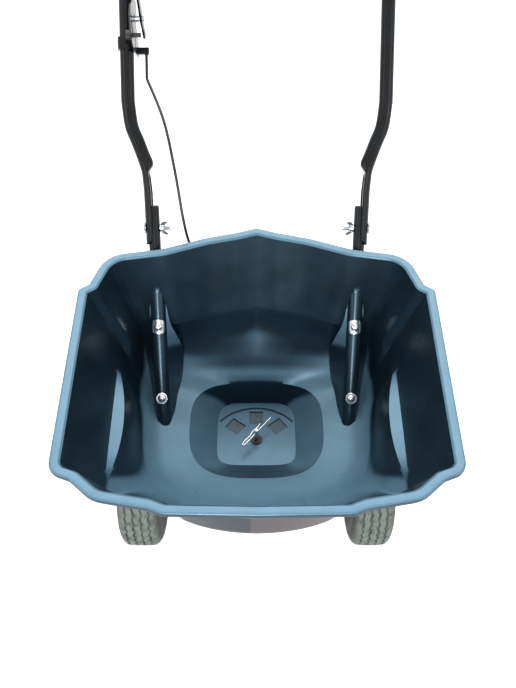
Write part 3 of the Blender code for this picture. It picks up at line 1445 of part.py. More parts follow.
def make_lever():
    """Lever, its knob, pivot bolt and stop, and the wire's hooked upper end."""
    swing = add_empty("lever_axis", LEVER_PIVOT)
    rest = LEVER_SWING / 2
    tail = LEVER_ARM / math.cos(LEVER_SWING / 2) + 0.007
    arm = LEVER_LENGTH
    outline = [(0.011, 0.0), (0.0065, 0.040), (0.0060, arm), (-0.0060, arm), (-0.0065, 0.040), (-0.011, 0.0),
               (-0.0065, -0.020), (-0.0065, -tail), (0.0065, -tail), (0.0065, -0.020)]
    low = -LEVER_ARM / math.cos(LEVER_SWING / 2) - 0.0018
    high = -LEVER_ARM + 0.0018
    slot = [(0.0019, low), (0.0019, high), (-0.0019, high), (-0.0019, low)]
    hole = circle(PIVOT_RADIUS + GAP)
    outlines = [turned_points(points, -rest) for points in (outline, hole, slot)]
    plate("lever", outlines, LEVER_THICKNESS, BLACK_STEEL, swing, lever_plane(Vector()))
    tip = (POST_OUT * math.cos(rest) + POST_UP * math.sin(rest)).normalized()
    knob_profile = [
        (0, 0.034),
        (0.007, 0.032),
        (0.0115, 0.025),
        (0.0125, 0.016),
        (0.0105, 0.004),
        (0.0085, -0.004),
        (0, -0.004),
    ]
    knob_base = tip * (arm - 0.018)
    knob = turned("lever_knob", knob_profile, KNOB_PLASTIC, swing, knob_base, tip, steps=14)
    side = tip.cross(Vector((1, 0, 0)))
    pocket_turn = Matrix((Vector((1, 0, 0)), side, tip)).transposed().to_4x4()
    pocket = block_cutter("knob_pocket", (LEVER_THICKNESS + 2 * GAP, 0.0125 + 2 * GAP, 0.030),
                          tip * (arm + GAP - 0.015), pocket_turn, swing)
    boolean(knob, pocket)
    half = LEVER_THICKNESS / 2
    bolt = [
        (0, half + GAP + 0.004),
        (0.0060, half + GAP + 0.003),
        (0.0070, half + GAP),
        (PIVOT_RADIUS, half + GAP),
        (PIVOT_RADIUS, -half - GAP),
        (0.0070, -half - GAP),
        (0.0070, CONSOLE_X - LEVER_X + GAP),
        (PIVOT_RADIUS, CONSOLE_X - LEVER_X + GAP),
        (PIVOT_RADIUS, CONSOLE_X - LEVER_X - CONSOLE_THICKNESS),
        (0, CONSOLE_X - LEVER_X - CONSOLE_THICKNESS),
    ]
    turned("lever_pivot_bolt", bolt, ZINC, None, LEVER_PIVOT, (1, 0, 0))
    stop_axis = add_empty("rate_stop_axis", LEVER_PIVOT)
    stop_angle = math.radians(-STOP_ANGLE)
    stop_at = (POST_OUT * math.cos(stop_angle) + POST_UP * math.sin(stop_angle)) * STOP_RADIUS
    inner = CONSOLE_X - LEVER_X
    outer = inner - CONSOLE_THICKNESS
    stop = [
        (0, half + 0.001),
        (0.0040, half + 0.001),
        (0.0040, inner + GAP),
        (0.0026, inner + GAP),
        (0.0026, outer - GAP),
        (0.0090, outer - GAP),
        (0.0085, outer - GAP - 0.009),
        (0, outer - GAP - 0.010),
    ]
    turned("rate_stop", stop, KNOB_PLASTIC, stop_axis, stop_at, (1, 0, 0), steps=14)
    slide = add_empty("lever_wire_axis", LEVER_WIRE_MIDDLE)
    reach = LEVER_ARM * math.tan(LEVER_SWING / 2)
    hook_x = LEVER_X - LEVER_THICKNESS / 2 - 0.0022 - LEVER_WIRE_X
    wire = [
        POST_UP * -(CABLE_BELOW_PIVOT + EYE_LENGTH / 2 + 2 * reach),
        POST_UP * (-reach - 0.0015),
        POST_UP * -reach + Vector((-0.0012, 0, 0)),
        POST_UP * -reach + Vector((hook_x, 0, 0)),
    ]
    tube("lever_wire", wire, WIRE_RADIUS, BRIGHT_STEEL, slide, resolution=2)


def make_cable_bracket():
    """Steel strip from the hopper's back wall down to the lower end of the cable housing."""
    hold = CABLE_START + Vector((0, 0.010, 0))
    foot = RIM_HEIGHT - 0.268
    top = RIM_HEIGHT - 0.228
    bend = FLOOR_HEIGHT + 0.005
    outline = [(0.158, foot), (0.182, top), (0.196, top), (0.228, bend), (hold.y + 0.008, hold.z - 0.005),
               (hold.y - 0.008, hold.z - 0.005), (hold.y - 0.008, hold.z + 0.006), (0.200, bend)]
    matrix = Matrix(((0, 0, 1, WIRE_X - 0.0065), (1, 0, 0, 0), (0, 1, 0, 0), (0, 0, 0, 1)))
    bracket = as_mesh(plate("cable_bracket", [outline], BRACKET_THICKNESS, None, None, matrix))
    bracket.data.materials.append(BLACK_STEEL)
    clamp = block((0.014, 0.016, 0.011), hold + Vector((0, 0, 0.0005)))
    boolean(bracket, make_cutter(mesh_object("bracket_clamp", clamp, None)), "UNION")
    boolean(bracket, rod_cutter("bracket_bore", CABLE_RADIUS / math.cos(math.pi / 8) + GAP, 0.05, (0, 1, 0),
                                hold, steps=16))


def build():
    make_hopper()
    make_posts()
    make_stand()
    make_hopper_bolts()
    make_handle()
    make_joint_bolts()
    make_grips()
    make_wheels()
    drive = bpy.data.objects["drive_axis"]
    spin = add_empty("impeller_axis", (0, AXLE_Y, 0))
    make_gears(drive, spin)
    make_gear_case()
    make_impeller(spin)
    make_floor_bush()
    slide = make_shutter()
    make_cable(slide)
    make_cable_bracket()
    make_console()
    make_lever()


build()
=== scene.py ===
"""Looks of a walk-behind broadcast spreader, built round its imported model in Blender 4.5."""

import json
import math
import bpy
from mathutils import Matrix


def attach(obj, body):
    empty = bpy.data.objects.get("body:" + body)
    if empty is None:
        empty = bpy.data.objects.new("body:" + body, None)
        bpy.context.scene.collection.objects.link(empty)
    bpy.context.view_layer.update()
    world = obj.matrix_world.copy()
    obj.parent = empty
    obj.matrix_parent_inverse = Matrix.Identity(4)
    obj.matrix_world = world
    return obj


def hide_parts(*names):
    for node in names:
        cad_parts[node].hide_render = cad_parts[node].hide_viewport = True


bl_info = {
    "name": "Broadcast Spreader",
    "version": (1, 0, 0),
    "blender": (4, 5, 0),
    "location": "View3D > Sidebar > Spreader",
    "description": "Models and finishes a walk-behind broadcast spreader",
    "category": "Add Mesh",
}

import bmesh
import bpy
from mathutils import Matrix, Vector

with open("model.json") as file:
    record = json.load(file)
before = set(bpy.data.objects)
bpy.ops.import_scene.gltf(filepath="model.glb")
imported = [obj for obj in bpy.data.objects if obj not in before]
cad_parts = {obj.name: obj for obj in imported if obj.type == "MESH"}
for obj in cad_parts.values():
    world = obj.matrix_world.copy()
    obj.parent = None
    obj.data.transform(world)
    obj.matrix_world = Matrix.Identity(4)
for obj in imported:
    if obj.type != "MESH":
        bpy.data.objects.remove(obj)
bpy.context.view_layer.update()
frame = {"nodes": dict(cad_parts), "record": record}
BODY_OF = {node: body for body, nodes in frame["record"]["behaviour"]["bodies"].items() for node in nodes}
SLOT_OF = {part["node"]: part["material_slot"] for part in frame["record"]["subparts"]}

MM = 0.001
SIDES = (("left", -1), ("right", 1))

# Sizes of the solid model in metres, from the ground and from the hopper's middle line
RIM_HEIGHT = 0.630
RIM_BACK = 0.2923
RIM_FRONT = 0.317
WALL = 0.003
FLANGE_WIDTH = 0.0155
SKIRT_DROP = 0.008
WELL_DEPTH = 0.335
BOWL_DEPTH = 0.282
WELL_HALF_WIDTH = 0.078
LEDGE_TOP = 0.134
LEDGE_DEPTH = 0.140
LEDGE_WIDTH = 0.018
LEDGE_MIDDLE = -0.062
LEDGE_HALF_LENGTH = 0.123
PORT_WIDTH = 0.028
PORT_INNER = 0.038
PORT_OUTER = 0.070
PORT_ANGLE = math.radians(52)
FLOOR_BUSH_RADIUS = 0.007
GROOVE_GAP = 0.0006
POST_RADIUS = 0.0111
POST_X = 0.182
POST_X_HEIGHT = RIM_HEIGHT - 0.229
POST_SPLAY = 0.0432
POST_LEAN = math.radians(40)
POST_BEND = 0.060
POST_TOP = RIM_HEIGHT + 0.039
POST_FOOT = 0.108
CAP_THICKNESS = 0.003
AXLE_Y = 0.037
AXLE_HEIGHT = 0.130
AXLE_RADIUS = 0.00635
TYRE_RADIUS = 0.130
TYRE_WIDTH = 0.088
TYRE_BEAD = 0.066
WHEEL_X = 0.240
HUB_RADIUS = 0.016
HUB_LENGTH = 0.076
CASE_RADIUS = 0.041
CASE_WALL = 0.003
CASE_HALF_WIDTH = 0.024
CASE_MIDDLE = 0.002
NECK_TOP = 0.218
SHAFT_RADIUS = 0.004
SHAFT_ABOVE_FLOOR = 0.035
CROWN_RADIUS = 0.030
IMPELLER_RADIUS = 0.115
IMPELLER_THICKNESS = 0.003
IMPELLER_HEIGHT = 0.243
VANE_HEIGHT = 0.018
VANES = 5
HANDLE_RADIUS = 0.0127
HANDLE_HEIGHT = 1.025
HANDLE_HALF_WIDTH = 0.236
HANDLE_CORNER = 0.050
SADDLE_THICKNESS = 0.0042
SADDLE_GAP = 0.0006
WING_NUT_HEIGHT = 0.0085
WING_BOLT_TIP = 0.013
JOINT_HEIGHT = RIM_HEIGHT + 0.0095
JOINT_BOLT_RADIUS = 0.004
GRIP_MIDDLE = 0.105
HOPPER_BOLT_RADIUS = 0.003
HOPPER_BOLT_HEAD = 0.008
UPPER_BOLT_HEIGHT = RIM_HEIGHT - 0.1323
LOWER_BOLT_HEIGHT = RIM_HEIGHT - 0.2383
WASHER_THICKNESS = 0.0015
STAND_RADIUS = 0.008
STAND_Y = 0.250
STAND_HALF_WIDTH = 0.150
STAND_TOP = 0.345
STAND_BOLT_HEIGHT = 0.322
SHUTTER_THICKNESS = 0.002
WIRE_X = -0.040
WIRE_DROP = -0.006
CABLE_RADIUS = 0.00275
CABLE_BELOW_PIVOT = 0.045
LEVER_HEIGHT = RIM_HEIGHT + 0.296
LEVER_ARM = 0.033
LEVER_LENGTH = 0.118
LEVER_SWING = math.radians(60)
LEVER_THICKNESS = 0.004
CONSOLE_THICKNESS = 0.003
GAP = 0.0003
BOLT_HOLE_PLAY = 0.0005
X_AXIS = (1, 0, 0)
Z_AXIS = (0, 0, 1)

FLOOR_HEIGHT = RIM_HEIGHT - WELL_DEPTH
SHUTTER_HEIGHT = FLOOR_HEIGHT - WALL - GAP - SHUTTER_THICKNESS / 2
CREST_RADIUS = POST_RADIUS + GROOVE_GAP + WALL
BEND_HEIGHT = RIM_HEIGHT - 0.280
POST_UP = Vector((0, math.sin(POST_LEAN), math.cos(POST_LEAN)))
POST_OUT = Vector((0, -math.cos(POST_LEAN), math.sin(POST_LEAN)))


def post_x(height):
    """Distance of a post's centre line from the middle plane."""
    return POST_X + POST_SPLAY * (height - POST_X_HEIGHT)


def post_y(height):
    """Y of a post's centre line where it leans."""
    return AXLE_Y + math.tan(POST_LEAN) * (height - BEND_HEIGHT)


HANDLE_BAR_Y = post_y(HANDLE_HEIGHT)
MIDDLE_Y = (HANDLE_BAR_Y + HANDLE_RADIUS - RIM_FRONT) / 2


def beside_post(side, height, across=0.0, out=0.0):
    """Point beside a leaning post: across is sideways, out is square to the post towards the front."""
    return Vector((side * post_x(height) + across, post_y(height), height)) + POST_OUT * out


# Colours and finishes


def linear(code):
    """An sRGB hex colour as linear red, green, blue and alpha."""
    channels = [int(code[place : place + 2], 16) / 255 for place in (0, 2, 4)]
    return tuple(c / 12.92 if c <= 0.04045 else ((c + 0.055) / 1.055) ** 2.4 for c in channels) + (1.0,)


def per_metre(millimetres):
    """Scale of a pattern whose grain has the given size."""
    return 1000 / millimetres


def add_node(tree, kind, settings=None, links=(), feeds=None):
    """Adds a node with its settings and (input, node, output) links; feeds is an (output, node, input)."""
    node = tree.nodes.new(kind)
    for name, value in (settings or {}).items():
        if isinstance(name, str) and hasattr(node, name):
            setattr(node, name, value)
        else:
            node.inputs[name].default_value = value
    for socket, source, output in links:
        tree.links.new(source.outputs[output], node.inputs[socket])
    if feeds:
        output, target, socket = feeds
        tree.links.new(node.outputs[output], target.inputs[socket])
    return node


def nodes_of(material):
    """Node tree, shader and coordinates of a material."""
    tree = material.node_tree
    return tree, tree.nodes["Principled BSDF"], tree.nodes["Texture Coordinate"]


def clouds(tree, place, size, detail, ends=(0.0, 1.0), reach=(0.0, 1.0), stretch=None, feeds=None):
    """Cloudy pattern of a size in millimetres, clipped at two ends and spread over a reach."""
    source, output = place, "Object"
    if stretch:
        source = add_node(tree, "ShaderNodeMapping", {"Scale": stretch}, [("Vector", place, "Object")])
        output = 0
    grain = add_node(tree, "ShaderNodeTexNoise", {"Scale": per_metre(size), "Detail": detail},
                     [("Vector", source, output)])
    settings = {"From Min": ends[0], "From Max": ends[1], "To Min": reach[0], "To Max": reach[1]}
    return add_node(tree, "ShaderNodeMapRange", settings, [("Value", grain, 0)], feeds)


def mix_tones(material, factor, tones):
    """Mixes a material's two tones by a node's first output."""
    tree, shader, place = nodes_of(material)
    add_node(tree, "ShaderNodeMix", {"data_type": "RGBA", 6: tones[0], 7: tones[1]}, [(0, factor, 0)],
             (2, shader, "Base Color"))


def surface(name, tones=None, patches=None, gloss=None, relief=None, roughness=0.4, metallic=0.0, ior=1.5,
            specular=0.5, stretch=None):
    """A material with patches of two tones, uneven gloss and fine relief.

    patches are a size in millimetres, a detail and the two ends of the mix. gloss is a size, a detail, two
    ends, and the lowest and highest roughness. relief is a size, a detail, a strength and a depth in
    millimetres. stretch draws gloss and relief out along an axis.
    """
    material = bpy.data.materials.new(name)
    material.use_nodes = True
    add_node(material.node_tree, "ShaderNodeTexCoord")
    tree, shader, place = nodes_of(material)
    for socket, value in (("Roughness", roughness), ("Metallic", metallic), ("IOR", ior),
                          ("Specular IOR Level", specular)):
        shader.inputs[socket].default_value = value
    if patches:
        size, detail, *ends = patches
        mix_tones(material, clouds(tree, place, size, detail, ends), tones)
    if gloss:
        size, detail, *ends_and_reach = gloss
        clouds(tree, place, size, detail, ends_and_reach[:2], ends_and_reach[2:], stretch,
               (0, shader, "Roughness"))
    if relief:
        size, detail, strength, depth = relief
        height = clouds(tree, place, size, detail, stretch=stretch)
        add_node(tree, "ShaderNodeBump", {"Strength": strength, "Distance": depth * MM},
                 [("Height", height, 0)], (0, shader, "Normal"))
    return material


# Tint of the moulding's shine, and its painted sheen, a pale colour that stands in for light falling on faces
# that turn up:
# how much more of it faces that lean sideways take, how much less those that lean to the back take, and the
# flatness at which it begins and is whole
BLUISH_SHINE = (0.52, 0.80, 1.0, 1.0)
SHEEN_SIDES = 0.45
SHEEN_BACK = -0.35
SHEEN_START = 0.52
SHEEN_WHOLE = 0.78


def moulded_polypropylene(name, tones):
    """Moulded polypropylene without the painted sheen: dark and faintly wavy, with a bluish shine."""
    material = surface(name, tones, patches=(90, 2.0, 0.35, 0.65), gloss=(45, 4.0, 0.3, 0.7, 0.27, 0.35),
                       relief=(8, 2.0, 0.10, 0.12), roughness=0.3, ior=1.49, specular=0.8)
    tree, shader, place = nodes_of(material)
    shader.inputs["Specular Tint"].default_value = BLUISH_SHINE
    return material


def burnished_polypropylene(name, tones):
    """The same moulding, with a painted sheen: a pale colour on faces that lie flat enough, which stands in
    for light falling on them.
    """
    material = moulded_polypropylene(name, tones)
    tree, shader, place = nodes_of(material)
    skin = shader.inputs["Base Color"].links[0].from_node
    facing = add_node(tree, "ShaderNodeSeparateXYZ", {}, [(0, place, "Normal")])
    sideways = add_node(tree, "ShaderNodeMath", {"operation": "ABSOLUTE"}, [(0, facing, "X")])
    sides = add_node(tree, "ShaderNodeMath", {"operation": "MULTIPLY_ADD", 1: SHEEN_SIDES, 2: 1.0},
                     [(0, sideways, 0)])
    ends = add_node(tree, "ShaderNodeMath", {"operation": "MULTIPLY_ADD", 1: SHEEN_BACK},
                    [(0, facing, "Y"), (2, sides, 0)])
    flatness = add_node(tree, "ShaderNodeMath", {"operation": "MULTIPLY"}, [(0, facing, "Z"), (1, ends, 0)])
    # Painted sheen: lighter where the faces turn up, more where they lean sideways, less where they lean to
    # the back
    sheen_share = add_node(tree, "ShaderNodeMapRange",
                       {"interpolation_type": "SMOOTHSTEP", "From Min": SHEEN_START, "From Max": SHEEN_WHOLE},
                       [("Value", flatness, 0)])
    cloudy = clouds(tree, place, 35, 4.0, (0.3, 0.7), (0.85, 1.0))
    # film is the share of the painted sheen, broken up by cloudy patches
    film = add_node(tree, "ShaderNodeMath", {"operation": "MULTIPLY"}, [(0, sheen_share, 0), (1, cloudy, 0)])
    sheen_colour = tuple(bpy.context.scene.spreader_colours.hopper_film)
    add_node(tree, "ShaderNodeMix", {"data_type": "RGBA", 7: sheen_colour}, [(0, film, 0), (6, skin, 2)],
             (2, shader, "Base Color"))
    return material


# Where the label's left field ends and its right field begins, from the middle plane
LABEL_SPLIT = (-0.012, -0.008)


def printed_film(name, tones):
    """Printed film, bare: a dark field beside a greyish one, with a satin face."""
    material = surface(name, relief=(1.5, 1.0, 0.08, 0.03), roughness=0.4, specular=0.1)
    tree, shader, place = nodes_of(material)
    across = add_node(tree, "ShaderNodeSeparateXYZ", {}, [(0, place, "Object")])
    field = add_node(tree, "ShaderNodeMapRange", {"From Min": LABEL_SPLIT[0], "From Max": LABEL_SPLIT[1]},
                     [("Value", across, 0)])
    mix_tones(material, field, tones)
    return material


def powder_coat(name, tones):
    """Gloss black powder coat on steel: a slight orange peel that breaks up the highlights."""
    return surface(name, tones, patches=(30, 3.0, 0.4, 0.6), relief=(1.6, 1.0, 0.10, 0.10), roughness=0.2,
                   specular=0.28)


def zinc_plate(name, tones):
    """Bright zinc plating: clear grey metal with cloudy patches."""
    return surface(name, tones, patches=(4, 3.0, 0.35, 0.65), gloss=(4, 3.0, 0.0, 1.0, 0.2, 0.42),
                   relief=(0.8, 1.0, 0.10, 0.05), roughness=0.3, metallic=1.0)


def galvanised_sheet_in_painted_shade(name, tones):
    """Galvanised sheet, its colour darkened to a grey-green as painted shade for the sheet seen in shade
    through the ports, with soft spangle.
    """
    return surface(name, tones, patches=(7, 3.0, 0.3, 0.7), gloss=(7, 3.0, 0.0, 1.0, 0.42, 0.6),
                   relief=(1.2, 1.0, 0.10, 0.04), roughness=0.5, metallic=0.1)


def stainless_steel(name, tones):
    """Cold-headed stainless steel: bright, with fine drawing lines."""
    return surface(name, tones, patches=(5, 3.0, 0.35, 0.65), gloss=(0.8, 2.0, 0.0, 1.0, 0.12, 0.28),
                   relief=(0.8, 2.0, 0.08, 0.04), roughness=0.18, metallic=1.0, stretch=(1.0, 1.0, 0.1))


def textured_moulding(name, tones):
    """Moulded ABS, polypropylene or nylon with a fine spark-eroded texture."""
    return surface(name, tones, patches=(25, 3.0, 0.35, 0.65), gloss=(0.9, 1.0, 0.0, 1.0, 0.36, 0.52),
                   relief=(0.9, 1.0, 0.25, 0.06), roughness=0.42, ior=1.53)


# The tyre's dust begins and is whole at these drops below the crown
DUST_START = 0.016
DUST_WHOLE = 0.003


def tyre_rubber(name, tones):
    """Moulded tyre rubber: dark, and greyed by dust where it has rolled."""
    material = surface(name, relief=(1.2, 3.0, 0.3, 0.12), roughness=0.7, ior=1.52)
    tree, shader, place = nodes_of(material)
    section = add_node(tree, "ShaderNodeMapping",
                       {"Location": (0, MIDDLE_Y - AXLE_Y, -AXLE_HEIGHT), "Scale": (0, 1, 1)},
                       [("Vector", place, "Object")])
    radius = add_node(tree, "ShaderNodeVectorMath", {"operation": "LENGTH"}, [(0, section, 0)])
    rolled = add_node(tree, "ShaderNodeMapRange",
                      {"From Min": TYRE_RADIUS - DUST_START, "From Max": TYRE_RADIUS - DUST_WHOLE},
                      [("Value", radius, 1)])
    dusty = clouds(tree, place, 14, 5.0, (0.2, 0.55))
    dust = add_node(tree, "ShaderNodeMath", {"operation": "MULTIPLY"}, [(0, rolled, 0), (1, dusty, 0)])
    mix_tones(material, dust, tones)
    return material


def natural_nylon(name, tones):
    """Unfilled nylon: creamy, slightly translucent-looking and waxy."""
    return surface(name, tones, patches=(8, 3.0, 0.3, 0.7), relief=(1.5, 1.0, 0.12, 0.05), roughness=0.42,
                   ior=1.53)


# Size of the foam's cells in millimetres
CELL_SIZE = 1.1


def closed_foam(name, tones):
    """Closed-cell foam sleeve: matt, with cells about 1 mm across."""
    material = surface(name, roughness=0.95)
    tree, shader, place = nodes_of(material)
    cells = add_node(tree, "ShaderNodeTexVoronoi", {"Scale": per_metre(CELL_SIZE)},
                     [("Vector", place, "Object")])
    walls = add_node(tree, "ShaderNodeMapRange", {"From Min": 0.1, "From Max": 0.7}, [("Value", cells, 0)])
    mix_tones(material, walls, tones)
    add_node(tree, "ShaderNodeBump", {"Strength": 0.6, "Distance": 0.3 * MM}, [("Height", cells, 0)],
             (0, shader, "Normal"))
    return material


def pvc_sheath(name, tones):
    """Extruded PVC sheath: satin and slightly uneven."""
    return surface(name, tones, patches=(12, 3.0, 0.3, 0.7), relief=(1.0, 1.0, 0.1, 0.05), roughness=0.38,
                   ior=1.54)


# Finishes by the name of their slot or place: function that makes each one, and its material's name
FINISH_MAKERS = {
    # The hopper's finish carries a painted sheen on its flat faces
    "hopper_plastic": (burnished_polypropylene, "burnished_polypropylene"),
    # Finish without the painted sheen and a shade darker: painted shade where it lies in the ports and the
    # dial line
    "bare_hopper": (moulded_polypropylene, "moulded_polypropylene"),
    "label": (printed_film, "printed_film"),
    "black_steel": (powder_coat, "black_powder_coat"),
    "zinc": (zinc_plate, "bright_zinc_plate"),
    "bright_steel": (stainless_steel, "stainless_steel"),
    "black_plastic": (textured_moulding, "textured_abs"),
    "tyre_rubber": (tyre_rubber, "dusty_tyre_rubber"),
    "rim_plastic": (textured_moulding, "textured_polypropylene"),
    "nylon": (natural_nylon, "natural_nylon"),
    "foam": (closed_foam, "closed_cell_foam"),
    "knob_plastic": (textured_moulding, "textured_nylon"),
    "cable": (pvc_sheath, "extruded_pvc_sheath"),
    # The shutter's finish is darkened as painted shade
    "shutter": (galvanised_sheet_in_painted_shade, "dull_galvanised_sheet"),
}
FINISHES = {}

# Nodes of the solid model whose finish isn't their slot's
OWN_FINISHES = {"shutter": "shutter", "shaft_bush": "rim_plastic"}


def tones_of(name):
    """The darker and the lighter tone of a finish, as the user set them."""
    colours = bpy.context.scene.spreader_colours
    return [tuple(getattr(colours, f"{name}_{shade}")) for shade in ("dark", "light")]


def make_finishes():
    """Makes each finish and gives it to the nodes of the solid model."""
    for name, (maker, material_name) in FINISH_MAKERS.items():
        FINISHES[name] = maker(material_name, tones_of(name))
    for name, obj in frame["nodes"].items():
        obj.data.materials.clear()
        obj.data.materials.append(FINISHES[OWN_FINISHES.get(name, SLOT_OF[name])])


# Modelling helpers


def clear_selection():
    """Leaves nothing selected, in object mode."""
    if bpy.context.object and bpy.context.object.mode != "OBJECT":
        bpy.ops.object.mode_set(mode="OBJECT")
    bpy.ops.object.select_all(action="DESELECT")


def pick(*objects):
    """Selects only these objects, the first one active."""
    clear_selection()
    for obj in objects:
        obj.select_set(True)
    bpy.context.view_layer.objects.active = objects[0]
    return objects[0]


def sizes():
    """The sizes that a user can change."""
    return bpy.context.scene.spreader_sizes


def new_object(name, data):
    """Links a new object and leaves only it selected."""
    obj = bpy.data.objects.new(name, data)
    bpy.context.scene.collection.objects.link(obj)
    return pick(obj)


def from_points(name, points, edges=(), faces=()):
    """A mesh object from points, edges and faces."""
    mesh = bpy.data.meshes.new(name)
    mesh.from_pydata([tuple(point) for point in points], edges, faces)
    return new_object(name, mesh)


def from_bmesh(name, data):
    """A mesh object from a bmesh, which is used up."""
    mesh = bpy.data.meshes.new(name)
    data.to_mesh(mesh)
    data.free()
    return new_object(name, mesh)


def apply_all(obj):
    """Applies every modifier of an object."""
    pick(obj)
    for modifier in list(obj.modifiers):
        bpy.ops.object.modifier_apply(modifier=modifier.name)
    return obj


def tidy_mesh(obj, threshold=0.00002):
    """Merges doubled points and turns the faces outwards."""
    pick(obj)
    bpy.ops.object.mode_set(mode="EDIT")
    bpy.ops.mesh.select_all(action="SELECT")
    bpy.ops.mesh.remove_doubles(threshold=threshold)
    bpy.ops.mesh.normals_make_consistent(inside=False)
    bpy.ops.object.mode_set(mode="OBJECT")
    return obj


def cut(obj, cutter, operation="DIFFERENCE"):
    """Cuts, joins or crosses an object with another one, which is used up."""
    modifier = obj.modifiers.new("cut", "BOOLEAN")
    modifier.operation = operation
    modifier.solver = "EXACT"
    modifier.object = cutter
    apply_all(obj)
    bpy.data.objects.remove(cutter, do_unlink=True)
    return obj


def bevelled(obj, width, angle=30, segments=3):
    """Rounds the edges that are sharper than an angle."""
    bevel = obj.modifiers.new("rounding", "BEVEL")
    bevel.width = width
    bevel.segments = segments
    bevel.limit_method = "ANGLE"
    bevel.angle_limit = math.radians(angle)
    bevel.harden_normals = False
    return apply_all(obj)


def joined(*objects):
    """Joins objects into the first one."""
    pick(*objects)
    bpy.ops.object.join()
    return objects[0]


def aim(axis):
    """Rotation that turns +Z to a direction."""
    return Vector(axis).to_track_quat("Z", "Y").to_matrix().to_4x4()


def turned(name, profile, centre=(0, 0, 0), axis=Z_AXIS, steps=48):
    """A profile of radius and height, from top to bottom, spun as on a lathe."""
    points = [(radius, 0, height) for radius, height in profile]
    edges = [(place, place + 1) for place in range(len(points) - 1)]
    if profile[0][0] > 0:
        edges.append((len(points) - 1, 0))
    obj = from_points(name, points, edges)
    bpy.ops.object.mode_set(mode="EDIT")
    bpy.ops.mesh.select_all(action="SELECT")
    bpy.ops.mesh.spin(steps=steps, angle=2 * math.pi, center=(0, 0, 0), axis=Z_AXIS)
    bpy.ops.object.mode_set(mode="OBJECT")
    tidy_mesh(obj)
    obj.data.transform(Matrix.Translation(Vector(centre)) @ aim(axis))
    return obj


def dome(radius, height, base, steps=7):
    """Profile of a domed head, from its top to its edge."""
    points = []
    for step in range(steps + 1):
        angle = math.pi / 2 * step / steps
        points.append((radius * math.sin(angle), base + height * math.cos(angle)))
    points[0] = (0, base + height)
    return points


def span_points(before, one, two, after, steps):
    """Points of a smooth curve from one point to the next, without the first."""
    points = []
    for step in range(1, steps + 1):
        t = step / steps
        points.append(0.5 * (2 * one + (two - before) * t + (2 * before - 5 * one + 4 * two - after) * t**2
                             + (3 * one - before - 3 * two + after) * t**3))
    return points


def smooth_path(points, spacing=0.0, steps=0):
    """Points along a smooth curve through the given points, by their spacing or by steps in each span."""
    result = [points[0]]
    for place in range(len(points) - 1):
        one, two = points[place], points[place + 1]
        before, after = points[max(place - 1, 0)], points[min(place + 2, len(points) - 1)]
        result += span_points(before, one, two, after, steps or max(1, round((two - one).length / spacing)))
    return result


def pipe(name, points, radius, resolution=6):
    """A round bar along points, from a bevelled curve."""
    curve = bpy.data.curves.new(name, "CURVE")
    curve.dimensions = "3D"
    curve.bevel_depth = radius
    curve.bevel_resolution = resolution
    curve.use_fill_caps = True
    spline = curve.splines.new("POLY")
    spline.points.add(len(points) - 1)
    for point, place in zip(spline.points, points):
        point.co = (*place, 1)
    new_object(name, curve)
    bpy.ops.object.convert(target="MESH")
    obj = bpy.context.object
    return tidy_mesh(obj)


def loft(rings):
    """Faces between closed rings with the same number of points."""
    data = bmesh.new()
    rows = [[data.verts.new(point) for point in ring] for ring in rings]
    for upper, lower in zip(rows, rows[1:]):
        count = len(upper)
        for place in range(count):
            after = (place + 1) % count
            data.faces.new((upper[place], lower[place], lower[after], upper[after]))
    return data, rows


def slab(name, outline, thickness, matrix=None, rounding=0.0):
    """A flat plate from an outline in its own XY plane, extruded both ways."""
    count = len(outline)
    obj = from_points(name, [(x, y, -thickness / 2) for x, y in outline], (), [list(range(count))])
    bpy.ops.object.mode_set(mode="EDIT")
    bpy.ops.mesh.select_all(action="SELECT")
    bpy.ops.mesh.extrude_region_move(TRANSFORM_OT_translate={"value": (0, 0, thickness)})
    bpy.ops.object.mode_set(mode="OBJECT")
    tidy_mesh(obj)
    if rounding:
        bevelled(obj, rounding, 40, 2)
    if matrix:
        obj.data.transform(matrix)
    return obj


def finish(obj, nodes, smooth=32, material=None):
    """Moves a piece into the part's frame, shades and finishes it, and puts it in its nodes' place."""
    apply_all(obj)
    if isinstance(nodes, str):
        nodes = [nodes]
    obj.data.transform(Matrix.Translation((0, -MIDDLE_Y, 0)))
    pick(obj)
    bpy.ops.object.shade_smooth_by_angle(angle=math.radians(smooth), keep_sharp_edges=False)
    slot = SLOT_OF[nodes[0]]
    obj.data.materials.clear()
    obj.data.materials.append(material or FINISHES[slot])
    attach(obj, BODY_OF[nodes[0]])
    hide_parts(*nodes)
    return obj


# Hopper

# Half of the rim's outer edge from the middle of the back to the middle of the front: x, y and rounding
RIM_CORNERS = (
    (0.0000, RIM_BACK, 0.000),
    (0.0400, 0.2785, 0.030),
    (0.0969, 0.2637, 0.120),
    (0.1745, 0.2336, 0.040),
    (0.2756, 0.2155, 0.055),
    (0.2975, 0.1400, 0.004),
    (0.3145, 0.1290, 0.010),
    (0.3068, -0.2452, 0.028),
    (0.2726, -0.2583, 0.006),
    (0.2365, -0.2909, 0.050),
    (0.1574, -0.3054, 0.008),
    (0.1350, -0.3145, 0.020),
    (0.0000, -RIM_FRONT, 0.000),
)
ARC_STEP = math.radians(9)
EDGE_STEP = 0.009
SIDE_DRAFT = 0.325
BACK_DRAFT = 0.36
BACK_MIDDLE_DRAFT = 0.09
FRONT_DRAFT = 0.26
FRONT_SIDE_DRAFT = 0.28
FRONT_MIDDLE = 0.16
BACK_MIDDLE = 0.14
WALL_REACH_SIDE = 0.30
WALL_REACH_BACK = 0.24
WALL_REACH_FRONT = 0.34
LEDGE_FROM_X = 0.27
SMALLEST_ROUND = 0.002

